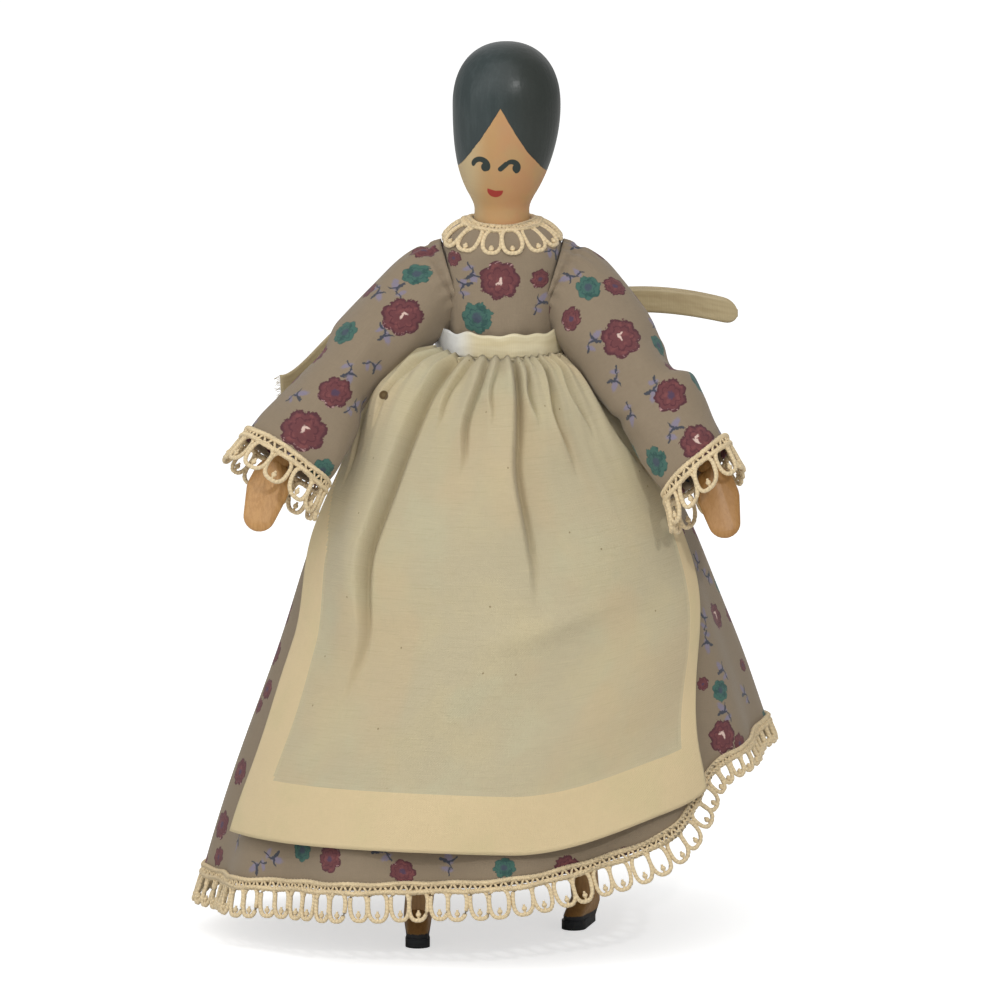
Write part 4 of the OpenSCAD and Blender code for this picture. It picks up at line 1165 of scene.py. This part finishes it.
# Head
def make_head(material):
    """The turned head, neck and body as one smooth lathe form, cut for the shoulders and the hips."""
    body = [(0.01, 121.0), (9.7, 121.0), (12.4, 125.5), (13.5, 136.5), (12.4, 146.0), (10.5, WAIST_Z),
            (11.5, 165.0), (12.2, SHOULDER_Z), (11.5, 178.9), (9.2, 182.7), (7.8, 185.7), (7.25, 188.5),
            (NECK_R, 190.3), (7.12, 191.2), (7.28, 192.1), (7.65, 193.1), (8.2, 194.2)]
    jaw = [(HEAD_R * math.cos(k), HEAD_MID_Z + JAW_H * math.sin(k))
           for k in np.linspace(-math.acos(NECK_R / HEAD_R), 0, 60)]
    power = 2 / 2.25
    crown = [(HEAD_R * math.cos(k) ** power, HEAD_MID_Z + CROWN_H * math.sin(k) ** power)
             for k in np.linspace(0, BACK, 60)[1:-1]] + [(0.01, HEAD_MID_Z + CROWN_H)]
    outline = np.array(body + [(r, z) for r, z in jaw if z > NECK_Z + 2.0] + crown)
    r, z = outline[:, :1], outline[:, 1:]
    turn = all_round(128)
    x = BODY_X + HEAD_LEAN * smooth((z - NECK_Z) / 25) + r * np.cos(turn)
    points = spread(x, r * np.sin(turn), z)
    head = sheet("painted_head_and_body", points, spread(turn * 12, z), material, closed=True)
    for s in (-1, 1):
        cut_box(head, (BODY_X + s * (11.8 + 10), 0, SHOULDER_Z), (20, 60, 12.5))
        cut_box(head, (BODY_X + s * (6.5 + 10), 0, HIP_Z - 10), (20, 60, 33.0))
    return apply_modifiers(head)


# Scene
def direction(azimuth, elevation):
    """Direction from the doll to a place round it; azimuth counts from its front towards its left."""
    return Vector((math.sin(azimuth) * math.cos(elevation), -math.cos(azimuth) * math.cos(elevation),
                   math.sin(elevation)))


def look_from(obj, aim, away, distance):
    """Puts a camera or a lamp so far away from what it looks at."""
    obj.location = Vector(aim) + away * distance
    obj.rotation_euler = (-away).to_track_quat("-Z", "Y").to_euler()


def make_camera():
    data = bpy.data.cameras.new("camera")
    data.lens = data.sensor_width * CAMERA_DISTANCE * PX_PER_MM / IMAGE_PX
    data.clip_start, data.clip_end = 0.5, 40
    camera = link("camera", data)
    look_from(camera, Vector(AIM) * MM, direction(0, CAMERA_ELEVATION), CAMERA_DISTANCE * MM)
    bpy.context.scene.camera = camera


def make_lamp(name, azimuth, elevation, distance, size, power):
    data = bpy.data.lights.new(name, "AREA")
    data.size = size
    data.energy = power
    look_from(link(name, data), LAMP_AIM, direction(math.radians(azimuth), math.radians(elevation)), distance)


def seen_directly(tree):
    """1 for what the camera sees with nothing between."""
    return Field(tree, tree.nodes.new("ShaderNodeLightPath").outputs["Is Camera Ray"])


def make_world():
    """White where the camera sees it, and plain soft light on the doll."""
    world = bpy.data.worlds.new("studio")
    world.use_nodes = True
    background = world.node_tree.nodes["Background"]
    background.inputs["Color"].default_value = (1, 1, 1, 1)
    strength = seen_directly(world.node_tree) * (1 - WORLD_STRENGTH) + WORLD_STRENGTH
    plug(world.node_tree, strength, background.inputs["Strength"])
    bpy.context.scene.world = world


def make_floor():
    """A pale floor that fades into the white background and keeps a soft shadow."""
    material = bpy.data.materials.new("floor")
    material.use_nodes = True
    tree = material.node_tree
    shader = tree.nodes["Principled BSDF"]
    shader.inputs["Base Color"].default_value = (0.8, 0.8, 0.79, 1)
    shader.inputs["Roughness"].default_value = 0.9
    shader.inputs["Emission Color"].default_value = (1, 1, 1, 1)
    plug(tree, seen_directly(tree) * FLOOR_GLOW, shader.inputs["Emission Strength"])
    corners = [(x * FLOOR_HALF, y * FLOOR_HALF, 0) for x, y in ((-1, -1), (1, -1), (1, 1), (-1, 1))]
    floor = make_mesh("floor", corners, [(0, 1, 2, 3)], {}, material)


def dress_piece(obj, body, slot, *nodes):
    """Sets what a piece rides on and hides the CAD nodes it stands for; slot, the name of its finish, is not
    used.
    """
    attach(obj, body)
    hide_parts(*nodes)
    return obj


bpy.context.scene.view_settings.view_transform = "Standard"
make_camera()
make_world()
for lamp_name, lamp in LAMPS.items():
    make_lamp(lamp_name, *lamp)
make_floor()

print_cotton = calico()
cream_cotton = apron_cotton()
hem_cotton = apron_hem_cotton()
thread = lace_thread()
waist_satin = satin("waist_satin", "#DDD1AE", "#C9B98F", 0.34, 0.8)
# Painted shade: a darker, duller copy of the satin for the bow's knot, loops and tails
shaded_bow_satin = satin("shaded_bow_satin", "#B8A67F", "#A38F68", 0.42)
limb = limb_wood()
shoe = shoe_wood()

for node_name, node in frame["nodes"].items():
    node.data.materials.clear()
    node.data.materials.append(shoe if "lower_leg" in node_name else limb)

dress_piece(make_head(painted_head()), "doll", "turned_wood", "head_and_torso")
collar = make_lace("collar_lace_loops", collar_place, 16, thread, 1, COLLAR_LACE_H)
dress_piece(collar, "doll", "lace", "collar_lace")
hem_lace = dress_piece(make_lace("hem_lace_loops", hem_lace_place, 90, thread, 2), "doll", "lace", "hem_lace")
skirt = dress_piece(make_skirt(print_cotton), "doll", "calico", "skirt")
bodice = dress_piece(make_bodice(print_cotton), "doll", "calico", "bodice")

# How far above and below the elbow two points on the arm are worked out, in millimetres
reach = 11.0
for side in SIDES:
    sleeve = apply_modifiers(make_sleeve(side, print_cotton))
    _, elbow, along, _ = arm_frame(side)
    (elbow - along * reach) * MM
    (elbow + along * reach) * MM
    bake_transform(sleeve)
    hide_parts(side + "_upper_sleeve", side + "_lower_sleeve")
    cuff = make_lace(side + "_cuff_lace_loops", cuff_lace_place(side), 13, thread, 3)
    dress_piece(cuff, side + "_forearm", "lace", side + "_cuff_lace")

apron = dress_piece(make_apron(cream_cotton, hem_cotton), "doll", "apron_cotton", "apron_panel")
ribbon_pieces = [
    dress_piece(make_waist_ribbon(waist_satin), "doll", "satin_ribbon", "apron_ribbon"),
    dress_piece(make_knot(shaded_bow_satin), "doll", "satin_ribbon", "ribbon_knot"),
    dress_piece(make_loop("left", 58.5, 6.0, 0.6, shaded_bow_satin), "doll", "satin_ribbon", "left_ribbon_loop"),
    dress_piece(make_loop("right", 26, 2.5, 2.0, shaded_bow_satin), "doll", "satin_ribbon", "right_ribbon_loop"),
    dress_piece(make_right_tail(shaded_bow_satin), "doll", "satin_ribbon", "right_ribbon_tail"),
    dress_piece(make_left_tail(shaded_bow_satin), "doll", "satin_ribbon", "left_ribbon_tail"),
]
